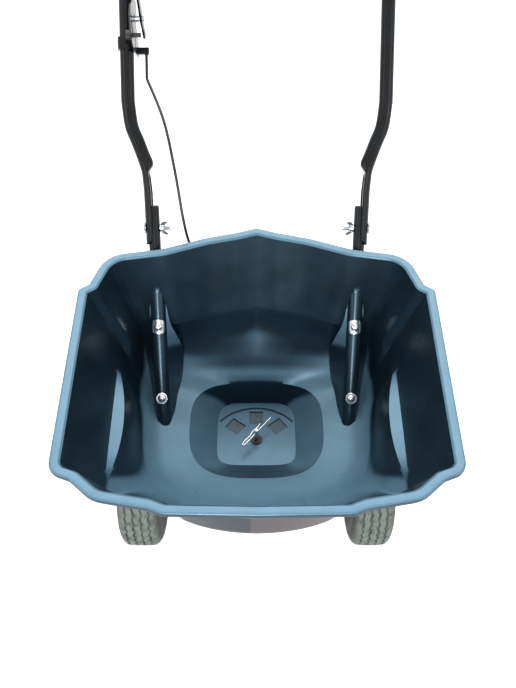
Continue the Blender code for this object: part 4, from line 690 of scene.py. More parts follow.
# Bowl: depth, half width, reach to the back and front of the shaft, squareness of the outline behind and
# in front, share of the bowl's own shape and of the side ledge
BOWL_LEVELS = (
    (LEDGE_DEPTH, 0.2475, 0.182, 0.300, 5.0, 2.8, 0.00, 1.00),
    (0.175, 0.2410, 0.165, 0.280, 4.8, 2.8, 0.55, 0.90),
    (0.205, 0.2330, 0.147, 0.258, 4.5, 2.8, 0.85, 0.60),
    (0.232, 0.2230, 0.132, 0.232, 4.2, 2.8, 1.00, 0.25),
    (0.255, 0.2060, 0.120, 0.202, 3.7, 2.8, 1.00, 0.00),
    (0.270, 0.1800, 0.110, 0.170, 3.4, 2.8, 1.00, 0.00),
    (BOWL_DEPTH, 0.1300, 0.103, 0.121, 3.2, 3.0, 1.00, 0.00),
)
WELL_LEVEL = (WELL_DEPTH, WELL_HALF_WIDTH, 0.092, 0.059, 5.0, 5.0, 1.00, 0.00)

BOWL_SPACING = 0.006
WELL_SHARES = (0.0, 0.15, 0.30, 0.45, 0.60, 0.75, 0.88, 1.0)

# Rounding of the flange's two upper edges, which has to be more than the wall's thickness
EDGE_ROUND = 0.0033

# Depths of the upper wall's rings: on the finished moulding, and on the plain space inside it
WALL_DEPTHS = (EDGE_ROUND, 0.010, 0.020, 0.040, 0.060, 0.080, 0.100, 0.118, LEDGE_TOP)
PLAIN_DEPTHS = (0.0, 0.030, 0.060, 0.090, LEDGE_TOP)

# Ridge over each post: drop below the rim, reach of its foot towards the middle and the outside, and depth
RIDGE_STATIONS = (
    (0.055, 0.0150, 0.0150, -0.002),
    (0.095, 0.0152, 0.0152, -0.004),
    (0.128, 0.0210, 0.0190, 0.004),
    (0.152, 0.0330, 0.0280, 0.018),
    (0.175, 0.0400, 0.0330, 0.033),
    (0.235, 0.0295, 0.0340, 0.066),
    (0.262, 0.0205, 0.0270, 0.020),
    (0.292, 0.0150, 0.0200, 0.004),
)
RIDGE_ANGLES = (8, 172)
RIDGE_SPACING = 0.006
FOOT_DEPTH = 0.040

# Faces of the port walls and the dial line lie at these depths below the well's floor
MARK_DEPTHS = (0.0008, 0.0024)

# How far a face may lie from the crest's own radius and still belong to the crest
CREST_TOLERANCE = 0.0004


def offset_corners(corners, distance):
    """The rim's corners moved inwards by a distance, with their roundings kept concentric."""
    points = [Vector(corner[:2]) for corner in corners]
    before = Vector((-points[1].x, points[1].y))
    after = Vector((-points[-2].x, points[-2].y))
    chain = [before, *points, after]
    moved = []
    for place, corner in enumerate(corners):
        one = (chain[place + 1] - chain[place]).normalized()
        two = (chain[place + 2] - chain[place + 1]).normalized()
        inward_one = Vector((one.y, -one.x))
        inward_two = Vector((two.y, -two.x))
        mitre = (inward_one + inward_two) / (1 + inward_one.dot(inward_two))
        convex = one.x * two.y - one.y * two.x < 0
        radius = max(corner[2] - distance, SMALLEST_ROUND) if convex else corner[2] + distance
        moved.append((*(points[place] + mitre * distance), radius))
    return moved


def rounded_half(corners):
    """Half of an outline with its corners rounded."""
    half = []
    for place, (x, y, radius) in enumerate(corners):
        corner = Vector((x, y))
        if place in (0, len(corners) - 1):
            half.append(corner)
            continue
        one = (corner - Vector(corners[place - 1][:2])).normalized()
        two = (Vector(corners[place + 1][:2]) - corner).normalized()
        turn = math.atan2(one.x * two.y - one.y * two.x, one.dot(two))
        steps = max(1, round(abs(turn) / ARC_STEP))
        start = corner - one * radius * math.tan(abs(turn) / 2)
        centre = start + Vector((-one.y, one.x)) * math.copysign(radius, turn)
        arm = start - centre
        for step in range(steps + 1):
            spin = Matrix.Rotation(turn * step / steps, 2)
            half.append(centre + spin @ arm)
    return half


OUTER_HALF = rounded_half(RIM_CORNERS)
EDGE_COUNTS = [
    max(1, round((OUTER_HALF[place + 1] - OUTER_HALF[place]).length / EDGE_STEP))
    for place in range(len(OUTER_HALF) - 1)
]


def outline_at(inset):
    """The whole rim outline, clockwise from the middle of the back, moved inwards."""
    half = rounded_half(offset_corners(RIM_CORNERS, inset)) if inset else OUTER_HALF
    points = []
    for place, count in enumerate(EDGE_COUNTS):
        for step in range(count):
            points.append(half[place].lerp(half[place + 1], step / count))
    points.append(half[-1])
    return points + [Vector((-point.x, point.y)) for point in reversed(points[1:-1])]


WALL_OUTLINE = outline_at(FLANGE_WIDTH)


def upper_wall(start, depth):
    """Point of the drafted upper wall under a point of the wall's outline."""
    across = start.x / WALL_REACH_SIDE
    along = (start.y - AXLE_Y) / (WALL_REACH_BACK if start.y > AXLE_Y else WALL_REACH_FRONT)
    normal = Vector((math.copysign(abs(across) ** 3, across), math.copysign(abs(along) ** 3, along)))
    normal.normalize()
    if start.y > AXLE_Y:
        end_draft = BACK_DRAFT + BACK_MIDDLE_DRAFT * max(0.0, 1 - abs(start.x) / BACK_MIDDLE)
    else:
        end_draft = FRONT_DRAFT + FRONT_SIDE_DRAFT * min(1.0, abs(start.x) / FRONT_MIDDLE) ** 2
    return start - normal * (SIDE_DRAFT * normal.x**2 + end_draft * normal.y**2) * depth


def ledge_push(start):
    """Inward reach of the crescent ledge on the side wall."""
    along = (start.y - LEDGE_MIDDLE) / LEDGE_HALF_LENGTH
    if abs(along) >= 1 or abs(start.x) < LEDGE_FROM_X:
        return 0.0
    return math.copysign(LEDGE_WIDTH * (1 - along**2), start.x)


def bowl_point(start, half_width, back, front, back_power, front_power):
    """Point of a rounded outline round the shaft, in the direction of a rim point."""
    angle = math.atan2(start.y - AXLE_Y, start.x)
    behind = start.y > AXLE_Y
    power = back_power if behind else front_power
    across = abs(math.cos(angle)) / half_width
    along = abs(math.sin(angle)) / (back if behind else front)
    reach = 1 / (across**power + along**power) ** (1 / power)
    return Vector((reach * math.cos(angle), AXLE_Y + reach * math.sin(angle)))


def level_point(start, level):
    """Point of the bowl at a level, in the direction of a rim point."""
    depth, *shape, share, ledge = level
    point = upper_wall(start, depth).lerp(bowl_point(start, *shape), share)
    return Vector((point.x - ledge * ledge_push(start), point.y, RIM_HEIGHT - depth))


def bowl_levels(spacing):
    """The bowl's levels with smooth ones between them."""
    rows = [BOWL_LEVELS[0]]
    for place in range(len(BOWL_LEVELS) - 1):
        one, two = BOWL_LEVELS[place], BOWL_LEVELS[place + 1]
        before = BOWL_LEVELS[max(place - 1, 0)]
        after = BOWL_LEVELS[min(place + 2, len(BOWL_LEVELS) - 1)]
        span = two[0] - one[0]
        steps = max(2, round(span / spacing))
        for step in range(1, steps + 1):
            t = step / steps
            row = [one[0] + span * t]
            for index in range(1, len(one)):
                rise = (two[index] - one[index]) / span
                first = rise if place == 0 else (two[index] - before[index]) / (two[0] - before[0])
                last = rise if after is two else (after[index] - one[index]) / (after[0] - one[0])
                row.append((2 * t**3 - 3 * t**2 + 1) * one[index] + (t**3 - 2 * t**2 + t) * span * first
                           + (3 * t**2 - 2 * t**3) * two[index] + (t**3 - t**2) * span * last)
            row[-1] = min(1.0, max(0.0, row[-1]))
            row[-2] = min(1.0, max(0.0, row[-2]))
            rows.append(tuple(row))
    return rows


def mixed(one, two, share):
    """A level between two levels."""
    return tuple(first + (second - first) * share for first, second in zip(one, two))


def flange_profile(steps=5):
    """Inset and drop of the flange's section, from the skirt's lower edge to the inner edge."""
    profile = [(0.0, SKIRT_DROP)]
    angles = [math.pi / 2 * step / steps for step in range(steps + 1)]
    for angle in angles:
        profile.append((EDGE_ROUND * (1 - math.cos(angle)), EDGE_ROUND * (1 - math.sin(angle))))
    inner = FLANGE_WIDTH - EDGE_ROUND
    for angle in angles[:-1]:
        profile.append((inner + EDGE_ROUND * math.sin(angle), EDGE_ROUND * (1 - math.cos(angle))))
    return profile


def hopper_rings(with_flange):
    """Inner surface of the hopper as rings from the skirt's lower edge to the well's floor."""
    rings = []
    if with_flange:
        for inset, drop in flange_profile():
            rings.append([Vector((*point, RIM_HEIGHT - drop)) for point in outline_at(inset)])
    for depth in WALL_DEPTHS if with_flange else PLAIN_DEPTHS:
        rings.append([Vector((*upper_wall(start, depth), RIM_HEIGHT - depth)) for start in WALL_OUTLINE])
    *levels, bowl_end = bowl_levels(BOWL_SPACING)
    levels += [mixed(bowl_end, WELL_LEVEL, share) for share in WELL_SHARES]
    for level in levels:
        rings.append([level_point(start, level) for start in WALL_OUTLINE])
    return rings


def hopper_skin(with_flange):
    """The hopper's inner surface with its floor, its front side inwards."""
    data, rows = loft(hopper_rings(with_flange))
    floor = data.faces.new(reversed(rows[-1]))
    bmesh.ops.recalc_face_normals(data, faces=data.faces)
    floor.normal_update()
    if floor.normal.z < 0:
        bmesh.ops.reverse_faces(data, faces=data.faces)
    data.normal_update()
    return data, rows


def hopper_volume():
    """The space inside the hopper out to the middle of its wall."""
    data, rows = hopper_skin(with_flange=False)
    moves = {vert: -vert.normal * WALL / 2 for vert in data.verts}
    for vert, move in moves.items():
        vert.co += move
    data.faces.new(rows[0])
    bmesh.ops.recalc_face_normals(data, faces=data.faces)
    return from_bmesh("hopper_inside", data)


def arc(radius, start, end, steps):
    """Points along an arc round the origin; angles in degrees."""
    points = []
    for step in range(steps + 1):
        angle = math.radians(start + (end - start) * step / steps)
        points.append((radius * math.cos(angle), radius * math.sin(angle)))
    return points


def ridge(name, side, inset, crest_steps=20):
    """One ridge over a post as a closed solid, or its groove."""
    rings = []
    first, last = RIDGE_ANGLES
    shoulder = Vector(arc(CREST_RADIUS, first, last, crest_steps)[0])
    crest = arc(CREST_RADIUS - inset, first, last, crest_steps)
    stations = smooth_path([Vector(station) for station in RIDGE_STATIONS], RIDGE_SPACING)
    for drop, inner, outer, depth in stations:
        feet = []
        for reach in (outer, inner):
            flank = (Vector((reach, -depth)) - shoulder).normalized()
            foot = Vector((reach, -depth)) + Vector((flank.y, -flank.x)) * inset
            feet.append(foot - flank * inset * (1 + flank.y) / flank.x)
        right, left = feet
        section = [(right.x, right.y - FOOT_DEPTH), (right.x, right.y), *crest, (-left.x, left.y),
                   (-left.x, left.y - FOOT_DEPTH)]
        rings.append([beside_post(side, RIM_HEIGHT - drop, side * across, out) for across, out in section])
    data, rows = loft(rings)
    data.faces.new(rows[0])
    data.faces.new(reversed(rows[-1]))
    bmesh.ops.recalc_face_normals(data, faces=data.faces)
    return from_bmesh(name, data)


def bar(name, radius, length, axis, centre, sides=32):
    """A plain round bar, mostly used as a cutter."""
    clear_selection()
    bpy.ops.mesh.primitive_cylinder_add(vertices=sides, radius=radius, depth=length)
    obj = bpy.context.object
    obj.name = name
    obj.data.transform(Matrix.Translation(Vector(centre)) @ aim(axis))
    return obj


def port_outlines():
    """Corners of the three ports round the shaft."""
    for turn in (-1, 0, 1):
        outward = Vector((math.sin(turn * PORT_ANGLE), math.cos(turn * PORT_ANGLE)))
        across = Vector((outward.y, -outward.x))
        half = across * PORT_WIDTH / 2
        yield [outward * PORT_INNER - half, outward * PORT_INNER + half, outward * PORT_OUTER + half,
               outward * PORT_OUTER - half]


# The dial line's centre lies in front of the shaft
DIAL_Y = -0.019


def post_bolts():
    """Name, level and post centre point of the four hopper bolts."""
    for side_name, side in SIDES:
        for level, height in (("upper", UPPER_BOLT_HEIGHT), ("lower", LOWER_BOLT_HEIGHT)):
            yield f"{side_name}_{level}", level, Vector((side * post_x(height), post_y(height), height))


def make_hopper():
    """The moulding: a thin shell with a ridge and a groove for each post, holes, ports and dial line."""
    skin = hopper_skin(with_flange=True)[0]
    hopper = from_bmesh("hopper_moulding", skin)
    shell = hopper.modifiers.new("wall", "SOLIDIFY")
    shell.thickness = WALL
    shell.offset = -1
    shell.use_even_offset = True
    apply_all(hopper)
    for side_name, side in SIDES:
        crest = ridge(f"ridge_{side_name}", side, 0.0)
        cut(crest, hopper_volume(), "INTERSECT")
        cut(hopper, crest, "UNION")
    for side_name, side in SIDES:
        cut(hopper, ridge(f"groove_{side_name}", side, WALL))
    for name, level, centre in post_bolts():
        centre += POST_OUT * POST_RADIUS
        cut(hopper, bar("bolt_hole", HOPPER_BOLT_RADIUS + BOLT_HOLE_PLAY, 0.03, POST_OUT, centre))
    middle = Vector((0, AXLE_Y, FLOOR_HEIGHT))
    cut(hopper, bar("shaft_hole", FLOOR_BUSH_RADIUS + GAP, 0.02, Z_AXIS, middle, 48))
    for corners in port_outlines():
        cut(hopper, slab("port", [tuple(corner) for corner in corners], 0.02, Matrix.Translation(middle)))
    cut(hopper, dial_cutter())
    finish(hopper, "hopper", 26)
    finish_marks(hopper)


def dial_cutter():
    """The dial line as a curved bar that reaches into the floor by its depth."""
    values = sizes()
    half_angle = math.degrees(values.dial_angle)
    half_width = values.dial_width / 2
    first, last = 90 - half_angle, 90 + half_angle
    outline = arc(values.dial_radius + half_width, first, last, 48)
    outline += arc(values.dial_radius - half_width, last, first, 48)
    matrix = Matrix.Translation((0, AXLE_Y + DIAL_Y, FLOOR_HEIGHT))
    return slab("dial", outline, 2 * values.dial_depth, matrix)


def beside_axis(point):
    """Distance of a point of the finished mesh from the nearer post's centre line."""
    place = Vector((abs(point.x), point.y + MIDDLE_Y, point.z))
    start = beside_post(1, RIM_HEIGHT)
    along = (beside_post(1, RIM_HEIGHT - 0.2) - start).normalized()
    return ((place - start) - along * (place - start).dot(along)).length


def finish_marks(hopper):
    """Gives the label field, the ridges' crests and the walls of ports and dial their own finish.

    The crests and these walls take no painted sheen and a darker tone, which in the ports and the dial line
    is painted shade.
    """
    values = sizes()
    label, bare = 1, 2
    hopper.data.materials.append(FINISHES["label"])
    hopper.data.materials.append(FINISHES["bare_hopper"])
    for face in hopper.data.polygons:
        x, y, z = face.center
        drop = RIM_HEIGHT - z
        if MARK_DEPTHS[0] < FLOOR_HEIGHT - z < MARK_DEPTHS[1] and abs(x) < WELL_HALF_WIDTH:
            face.material_index = bare
        if drop > 0.03 and abs(beside_axis(face.center) - CREST_RADIUS) < CREST_TOLERANCE:
            face.material_index = bare
        in_front = face.normal.y < -0.2 and y < -MIDDLE_Y
        if in_front and abs(x) < values.label_half_width and values.label_high < drop < values.label_low:
            face.material_index = label


# Frame tubes, stand and handle


# Steps of a post's bend, and the end cap's section as shares of the post's radius and the cap's thickness
POST_BEND_STEPS = 14
CAP_SHAPE = ((0, 1), (0.66, 1), (0.86, 0.90), (0.97, 0.66), (1, 0.36))
CAP_PLUG = 0.8
CAP_PLUG_DEPTH = 0.010


def make_posts():
    """The two frame tubes, bent over the axle, each with a domed plug in its top."""
    reach = POST_BEND * math.tan(POST_LEAN / 2)
    for side_name, side in SIDES:
        points = [beside_post(side, POST_TOP)]
        for step in range(POST_BEND_STEPS + 1):
            angle = POST_LEAN * (1 - step / POST_BEND_STEPS)
            z = BEND_HEIGHT - reach + POST_BEND * math.sin(angle)
            points.append(Vector((side * post_x(z), AXLE_Y + POST_BEND * (1 - math.cos(angle)), z)))
        points.append(Vector((side * post_x(POST_FOOT), AXLE_Y, POST_FOOT)))
        finish(pipe(f"post_{side_name}", points, POST_RADIUS, 8), f"frame_tube_{side_name}")
        up = Vector((side * POST_SPLAY, math.tan(POST_LEAN), 1)).normalized()
        profile = [(POST_RADIUS * radius, CAP_THICKNESS * height) for radius, height in CAP_SHAPE]
        plug = POST_RADIUS * CAP_PLUG
        profile += [(POST_RADIUS, GAP), (plug, GAP), (plug, -CAP_PLUG_DEPTH), (0, -CAP_PLUG_DEPTH)]
        cap = turned(f"tube_cap_{side_name}", profile, beside_post(side, POST_TOP), up)
        finish(cap, f"end_cap_{side_name}")


# Spans of the stand that are longer than this stay straight, and the others are drawn as smooth bends
STAND_STRAIGHT = 0.06
STAND_REACH = 0.02
STAND_SPACING = 0.004


def make_stand():
    """One bent tube: down beside a post, back to the ground, across, and up to the other post."""
    inset = POST_RADIUS + STAND_RADIUS + GAP
    top_x = post_x(STAND_TOP) - inset
    low_x = post_x(STAND_BOLT_HEIGHT - 0.03) - inset
    leg = [
        Vector((top_x, AXLE_Y, STAND_TOP)),
        Vector((low_x, AXLE_Y, STAND_BOLT_HEIGHT - 0.025)),
        Vector((low_x - 0.001, AXLE_Y + 0.006, STAND_BOLT_HEIGHT - 0.045)),
        Vector((low_x - 0.002, AXLE_Y + 0.018, STAND_BOLT_HEIGHT - 0.065)),
        Vector((STAND_HALF_WIDTH, STAND_Y - 0.016, STAND_RADIUS + 0.030)),
        Vector((STAND_HALF_WIDTH - 0.002, STAND_Y - 0.006, STAND_RADIUS + 0.012)),
        Vector((STAND_HALF_WIDTH - 0.010, STAND_Y, STAND_RADIUS + 0.002)),
        Vector((STAND_HALF_WIDTH - 0.024, STAND_Y, STAND_RADIUS)),
    ]
    points = [Vector((-point.x, point.y, point.z)) for point in leg] + leg[::-1]
    fine = [points[0]]
    for place in range(len(points) - 1):
        one, two = points[place], points[place + 1]
        if (two - one).length > STAND_STRAIGHT:
            fine.append(two)
            continue
        before, after = points[max(place - 1, 0)], points[min(place + 2, len(points) - 1)]
        before = one + (before - one).normalized() * min((before - one).length, STAND_REACH)
        after = two + (after - two).normalized() * min((after - two).length, STAND_REACH)
        fine += span_points(before, one, two, after, max(1, round((two - one).length / STAND_SPACING)))
    finish(pipe("stand_tube", fine, STAND_RADIUS, 6), "stand")


# Handle: height above the rim and half angle of each crescent that hugs the post
SADDLE_RINGS = ((-0.014, 45), (-0.008, 70), (0.002, 84), (0.060, 86))
SADDLE_END = 0.076
RING_HALF = 27

# Flare from the crescent to the round tube: height above the rim and outward step
FLARE = ((0.096, 0.0075), (0.112, 0.0140), (0.131, 0.0225), (0.152, 0.0320))
FLARE_END = 0.185
FLARE_STEPS = 5
HANDLE_BEND_STEPS = 16


def crescent(height, half_angle):
    """Ring of the crushed handle end that hugs the outside of a post."""
    inner = POST_RADIUS + SADDLE_GAP
    outer = inner + SADDLE_THICKNESS
    points = []
    for radius, direction in ((outer, 1), (inner, -1)):
        for step in range(RING_HALF + 1):
            angle = math.radians(direction * half_angle * (2 * step / RING_HALF - 1))
            points.append(beside_post(1, height, radius * math.cos(angle), radius * math.sin(angle)))
    return points


def round_ring(centre, out, forward):
    """Ring of the round tube, its points matched to the crescent's."""
    up = out.cross(forward)
    count = 2 * RING_HALF + 2
    ring = []
    for step in range(count):
        angle = math.radians(-90 + 360 * (step + 0.5) / count)
        ring.append(centre + (out * math.cos(angle) + up * math.sin(angle)) * HANDLE_RADIUS)
    return ring


def handle_path():
    """Centre line of half of the handle, from the flare to the middle of the bar."""
    path = []
    for rise, out in FLARE:
        height = RIM_HEIGHT + rise
        path.append(Vector((post_x(height) + out, post_y(height), height)))
    straight = RIM_HEIGHT + FLARE_END
    path.append(Vector((HANDLE_HALF_WIDTH, post_y(straight), straight)))
    corner = Vector((HANDLE_HALF_WIDTH, HANDLE_BAR_Y, HANDLE_HEIGHT))
    for step in range(HANDLE_BEND_STEPS + 1):
        angle = math.pi / 2 * step / HANDLE_BEND_STEPS
        path.append(corner - Vector((HANDLE_CORNER * (1 - math.cos(angle)), 0, 0))
                    - POST_UP * HANDLE_CORNER * (1 - math.sin(angle)))
    path.append(Vector((0, HANDLE_BAR_Y, HANDLE_HEIGHT)))
    return path


def make_handle():
    """The handle tube, whose lower ends are crushed to crescents round the posts."""
    rings = [crescent(RIM_HEIGHT + rise, half_angle) for rise, half_angle in SADDLE_RINGS]
    path = handle_path()
    out = Vector(X_AXIS)
    round_rings = []
    for place, point in enumerate(path):
        before = path[max(place - 1, 0)]
        after = path[min(place + 1, len(path) - 1)]
        forward = ((point - before).normalized() + (after - point).normalized()).normalized()
        if place == len(path) - 1:
            forward = Vector((-1, 0, 0))
        out = (out - forward * out.dot(forward)).normalized()
        round_rings.append(round_ring(point, out, forward))
    last = crescent(RIM_HEIGHT + SADDLE_END, SADDLE_RINGS[-1][1])
    rings.append([one.lerp(two, 0.4) for one, two in zip(last, round_rings[0])])
    flare = len(FLARE) + 1
    coarse = rings[3:] + round_rings[:flare]
    tracks = [smooth_path(track, steps=FLARE_STEPS) for track in zip(*coarse)]
    fine = rings[:3] + list(zip(*tracks))
    data, rows = loft(fine + round_rings[flare:])
    data.faces.new(rows[0])
    bmesh.ops.recalc_face_normals(data, faces=data.faces)
    handle = from_bmesh("handle", data)
    other = handle.modifiers.new("other half", "MIRROR")
    other.use_mirror_merge = True
    other.merge_threshold = 0.0001
    apply_all(handle)
    tidy_mesh(handle)
    finish(handle, "handle_tube", 40)


GRIP_EDGE = 0.003
GRIP_EDGE_STEPS = 5


def make_grips():
    """Two foam sleeves with rounded ends on the handle's bar."""
    values = sizes()
    half = values.grip_length / 2
    flat = values.grip_radius - GRIP_EDGE
    bore = HANDLE_RADIUS + GAP
    for side_name, side in SIDES:
        profile = [(flat, half)]
        for end in (1, -1):
            for step in range(GRIP_EDGE_STEPS + 1):
                share = step / GRIP_EDGE_STEPS
                angle = math.pi / 2 * (share if end > 0 else 1 - share)
                profile.append((flat + GRIP_EDGE * math.sin(angle),
                                end * (half - GRIP_EDGE + GRIP_EDGE * math.cos(angle))))
        profile += [(bore, -half), (bore, half)]
        place = (side * GRIP_MIDDLE, HANDLE_BAR_Y, HANDLE_HEIGHT)
        finish(turned(f"foam_grip_{side_name}", profile, place, X_AXIS), f"grip_{side_name}")


# Bolts and nuts


BOLT_HEAD_HEIGHT = 0.0045
HOPPER_BOLT_TIP = -0.0203
WASHER_RADIUS = 0.0110
WASHER_EDGE = 0.0004
SADDLE_HALF_WIDTH = 0.011
SADDLE_HALF_LENGTH = 0.0133
SADDLE_CORNER = 0.008
SADDLE_COLUMNS = 25


def make_hopper_bolts():
    """Dome-head bolts through the ridges, on saddle washers above and round washers below."""
    washer_top = CREST_RADIUS + GAP + WASHER_THICKNESS
    seat = washer_top + GAP
    for name, level, centre in post_bolts():
        profile = dome(HOPPER_BOLT_HEAD, BOLT_HEAD_HEIGHT, seat, 9)
        profile += [(HOPPER_BOLT_RADIUS, seat), (HOPPER_BOLT_RADIUS, HOPPER_BOLT_TIP), (0, HOPPER_BOLT_TIP)]
        finish(turned(f"dome_bolt_{name}", profile, centre, POST_OUT), f"hopper_bolt_{name}")
        if level == "upper":
            washer = saddle_washer(f"saddle_{name}", centre)
        else:
            low = CREST_RADIUS + GAP
            bore = HOPPER_BOLT_RADIUS + GAP
            ring = [
                (WASHER_RADIUS - WASHER_EDGE, washer_top),
                (WASHER_RADIUS, washer_top - WASHER_EDGE),
                (WASHER_RADIUS, low + WASHER_EDGE),
                (WASHER_RADIUS - WASHER_EDGE, low),
                (bore, low),
                (bore, washer_top),
            ]
            washer = turned(f"washer_{name}", ring, centre, POST_OUT)
        finish(washer, f"hopper_washer_{name}")


def saddle_washer(name, centre):
    """A washer with rounded corners, bent over the ridge's crest."""
    radius = CREST_RADIUS + GAP
    edge_angle = math.asin(SADDLE_HALF_WIDTH / radius)
    data = bmesh.new()
    rows = []
    for column in range(SADDLE_COLUMNS):
        share = 2 * column / (SADDLE_COLUMNS - 1) - 1
        past_corner = max(0.0, abs(share * SADDLE_HALF_WIDTH) - (SADDLE_HALF_WIDTH - SADDLE_CORNER))
        rounding = math.sqrt(max(0.0, SADDLE_CORNER**2 - past_corner**2))
        up = POST_UP * (SADDLE_HALF_LENGTH - SADDLE_CORNER + rounding)
        angle = share * edge_angle
        middle = centre + Vector((radius * math.sin(angle), 0, 0)) + POST_OUT * radius * math.cos(angle)
        rows.append([data.verts.new(middle - up), data.verts.new(middle + up)])
    for one, two in zip(rows, rows[1:]):
        data.faces.new((one[0], two[0], two[1], one[1]))
    bmesh.ops.recalc_face_normals(data, faces=data.faces)
    data.faces.ensure_lookup_table()
    if data.faces[SADDLE_COLUMNS // 2].normal.dot(POST_OUT) < 0:
        bmesh.ops.reverse_faces(data, faces=data.faces)
    washer = from_bmesh(name, data)
    shell = washer.modifiers.new("thickness", "SOLIDIFY")
    shell.thickness = WASHER_THICKNESS
    shell.offset = 1
    apply_all(washer)
    cut(washer, bar("hole", HOPPER_BOLT_RADIUS + GAP, 0.02, POST_OUT, centre + POST_OUT * radius))
    return washer


JOINT_BOLT_HEAD = 0.010
THREAD_PITCH = 0.00125
THREAD_DEPTH = 0.0005

# A wing in its own plane: reach from the bolt's axis, and height above the post
WING_OUTLINE = (
    (0.0045, 0.0010),
    (0.0085, 0.0010),
    (0.0120, 0.0028),
    (0.0150, 0.0060),
    (0.0163, 0.0090),
    (0.0164, 0.0118),
    (0.0152, 0.0138),
    (0.0132, 0.0138),
    (0.0112, 0.0122),
    (0.0090, 0.0098),
    (0.0070, 0.0084),
    (0.0045, 0.0080),
)
WING_THICKNESS = 0.0022


def make_joint_hardware():
    """Carriage bolts through the handle's saddles, with wing nuts inside."""
    outer = POST_RADIUS + SADDLE_GAP + SADDLE_THICKNESS + GAP
    tip = -(POST_RADIUS + WING_NUT_HEIGHT + WING_BOLT_TIP)
    thread_start = -(POST_RADIUS + 0.0005)
    bore = JOINT_BOLT_RADIUS + GAP
    for side_name, side in SIDES:
        joint = Vector((side * post_x(JOINT_HEIGHT), post_y(JOINT_HEIGHT), JOINT_HEIGHT))
        profile = dome(JOINT_BOLT_HEAD, BOLT_HEAD_HEIGHT, outer, 9) + [(JOINT_BOLT_RADIUS, outer)]
        for turn_number in range(int((thread_start - tip - 0.001) / THREAD_PITCH)):
            height = thread_start - turn_number * THREAD_PITCH
            profile.append((JOINT_BOLT_RADIUS, height - THREAD_PITCH * 0.25))
            profile.append((JOINT_BOLT_RADIUS - THREAD_DEPTH, height - THREAD_PITCH * 0.75))
        profile += [(JOINT_BOLT_RADIUS - 0.0006, tip), (0, tip)]
        bolt = turned(f"carriage_bolt_{side_name}", profile, joint, (side, 0, 0))
        finish(bolt, f"handle_bolt_{side_name}")
        seat = joint - Vector((side * (POST_RADIUS + GAP), 0, 0))
        inward = Vector((-side, 0, 0))
        hub = turned(f"wing_nut_body_{side_name}", [
            (0.0052, WING_NUT_HEIGHT),
            (0.0060, WING_NUT_HEIGHT - 0.0008),
            (0.0074, 0.0010),
            (0.0072, 0.0),
            (bore, 0.0),
            (bore, WING_NUT_HEIGHT),
        ], seat, inward)
        wings = []
        for up in (-1, 1):
            wing = slab("wing", WING_OUTLINE, WING_THICKNESS, None, 0.0006)
            wing.data.transform(Matrix(((0, inward.x, 0, seat.x), (0, 0, 1, seat.y), (up, 0, 0, seat.z),
                                        (0, 0, 0, 1))))
            wings.append(tidy_mesh(wing))
        finish(joined(hub, *wings), f"wing_nut_{side_name}")


# Wheels


def make_wheels():
    """A tyre and a rim at either end of the axle."""
    for side_name, side in SIDES:
        centre = Vector((side * WHEEL_X, AXLE_Y, AXLE_HEIGHT))
        make_tyre(side_name, centre)
        make_rim(side_name, centre)


# Middles of the tread's grooves, width and depth of a groove's rounded lip, and share of its floor
GROOVES = (-0.0235, -0.0080, 0.0080, 0.0235)
GROOVE_EDGE = 0.0004
GROOVE_LIP = 0.0006
GROOVE_FLOOR = 0.6

# How much the tread's radius falls towards its shoulders, for each square metre of reach
CROWN_CURVE = 1.6

# Tyre outside and inside the carcass: reach from the middle plane and drop below the crown
SIDEWALL = (
    (0.030, 0.0022),
    (0.0352, 0.0062),
    (0.0390, 0.0115),
    (0.0418, 0.0180),
    (0.0433, 0.0250),
    (TYRE_WIDTH / 2, 0.0330),
    (0.0437, 0.0380),
    (0.0445, 0.0395),
    (0.0438, 0.0410),
    (0.0418, 0.0470),
    (0.0395, 0.0520),
    (0.0360, 0.0570),
    (0.0330, 0.0610),
    (0.0318, TYRE_RADIUS - TYRE_BEAD),
)
TYRE_INSIDE = ((0.0250, TYRE_RADIUS - TYRE_BEAD), (0.0330, 0.036), (0.0240, 0.014))
TREAD_STEPS = 216
ZIGZAG_STEPS = 6


def tyre_profile():
    """Section of the tyre: reach from the middle plane, radius, and 1 where the tread swings."""
    values = sizes()
    half = values.groove_half
    side = [(x, TYRE_RADIUS - drop, 0) for x, drop in SIDEWALL]
    inside = [(x, TYRE_RADIUS - drop, 0) for x, drop in TYRE_INSIDE]
    groove = (
        (-half - GROOVE_EDGE, 0),
        (-half, GROOVE_LIP),
        (-half * GROOVE_FLOOR, values.groove_depth),
        (half * GROOVE_FLOOR, values.groove_depth),
        (half, GROOVE_LIP),
        (half + GROOVE_EDGE, 0),
    )
    tread = []
    for middle in GROOVES:
        for offset, depth in groove:
            x = middle + offset
            tread.append((x, TYRE_RADIUS - CROWN_CURVE * x**2 - depth, 1))
    other_side = [(-x, radius, swing) for x, radius, swing in reversed(side)]
    other_inside = [(-x, radius, swing) for x, radius, swing in reversed(inside)]
    return other_side + tread + side + inside + other_inside


def make_tyre(side_name, centre):
    """Tyre with four zigzag grooves round its tread and two beads on each sidewall."""
    profile = tyre_profile()
    rings = []
    for step in range(TREAD_STEPS):
        angle = 2 * math.pi * step / TREAD_STEPS
        phase = step % ZIGZAG_STEPS / ZIGZAG_STEPS
        swing = sizes().zigzag * (4 * abs(phase - 0.5) - 1)
        rings.append([
            centre + Vector((x + share * swing, radius * math.cos(angle), radius * math.sin(angle)))
            for x, radius, share in profile
        ])
    data = loft(rings + [rings[0]])[0]
    bmesh.ops.remove_doubles(data, verts=data.verts, dist=0.00001)
    bmesh.ops.recalc_face_normals(data, faces=data.faces)
    finish(from_bmesh(f"pneumatic_tyre_{side_name}", data), f"tyre_{side_name}", 35)


RIM_BEAD = 0.0318
RIM_LIP = 0.0045
RIM_WEB = 0.003
RIM_RIBS = 6
RIB_THICKNESS = 0.0035


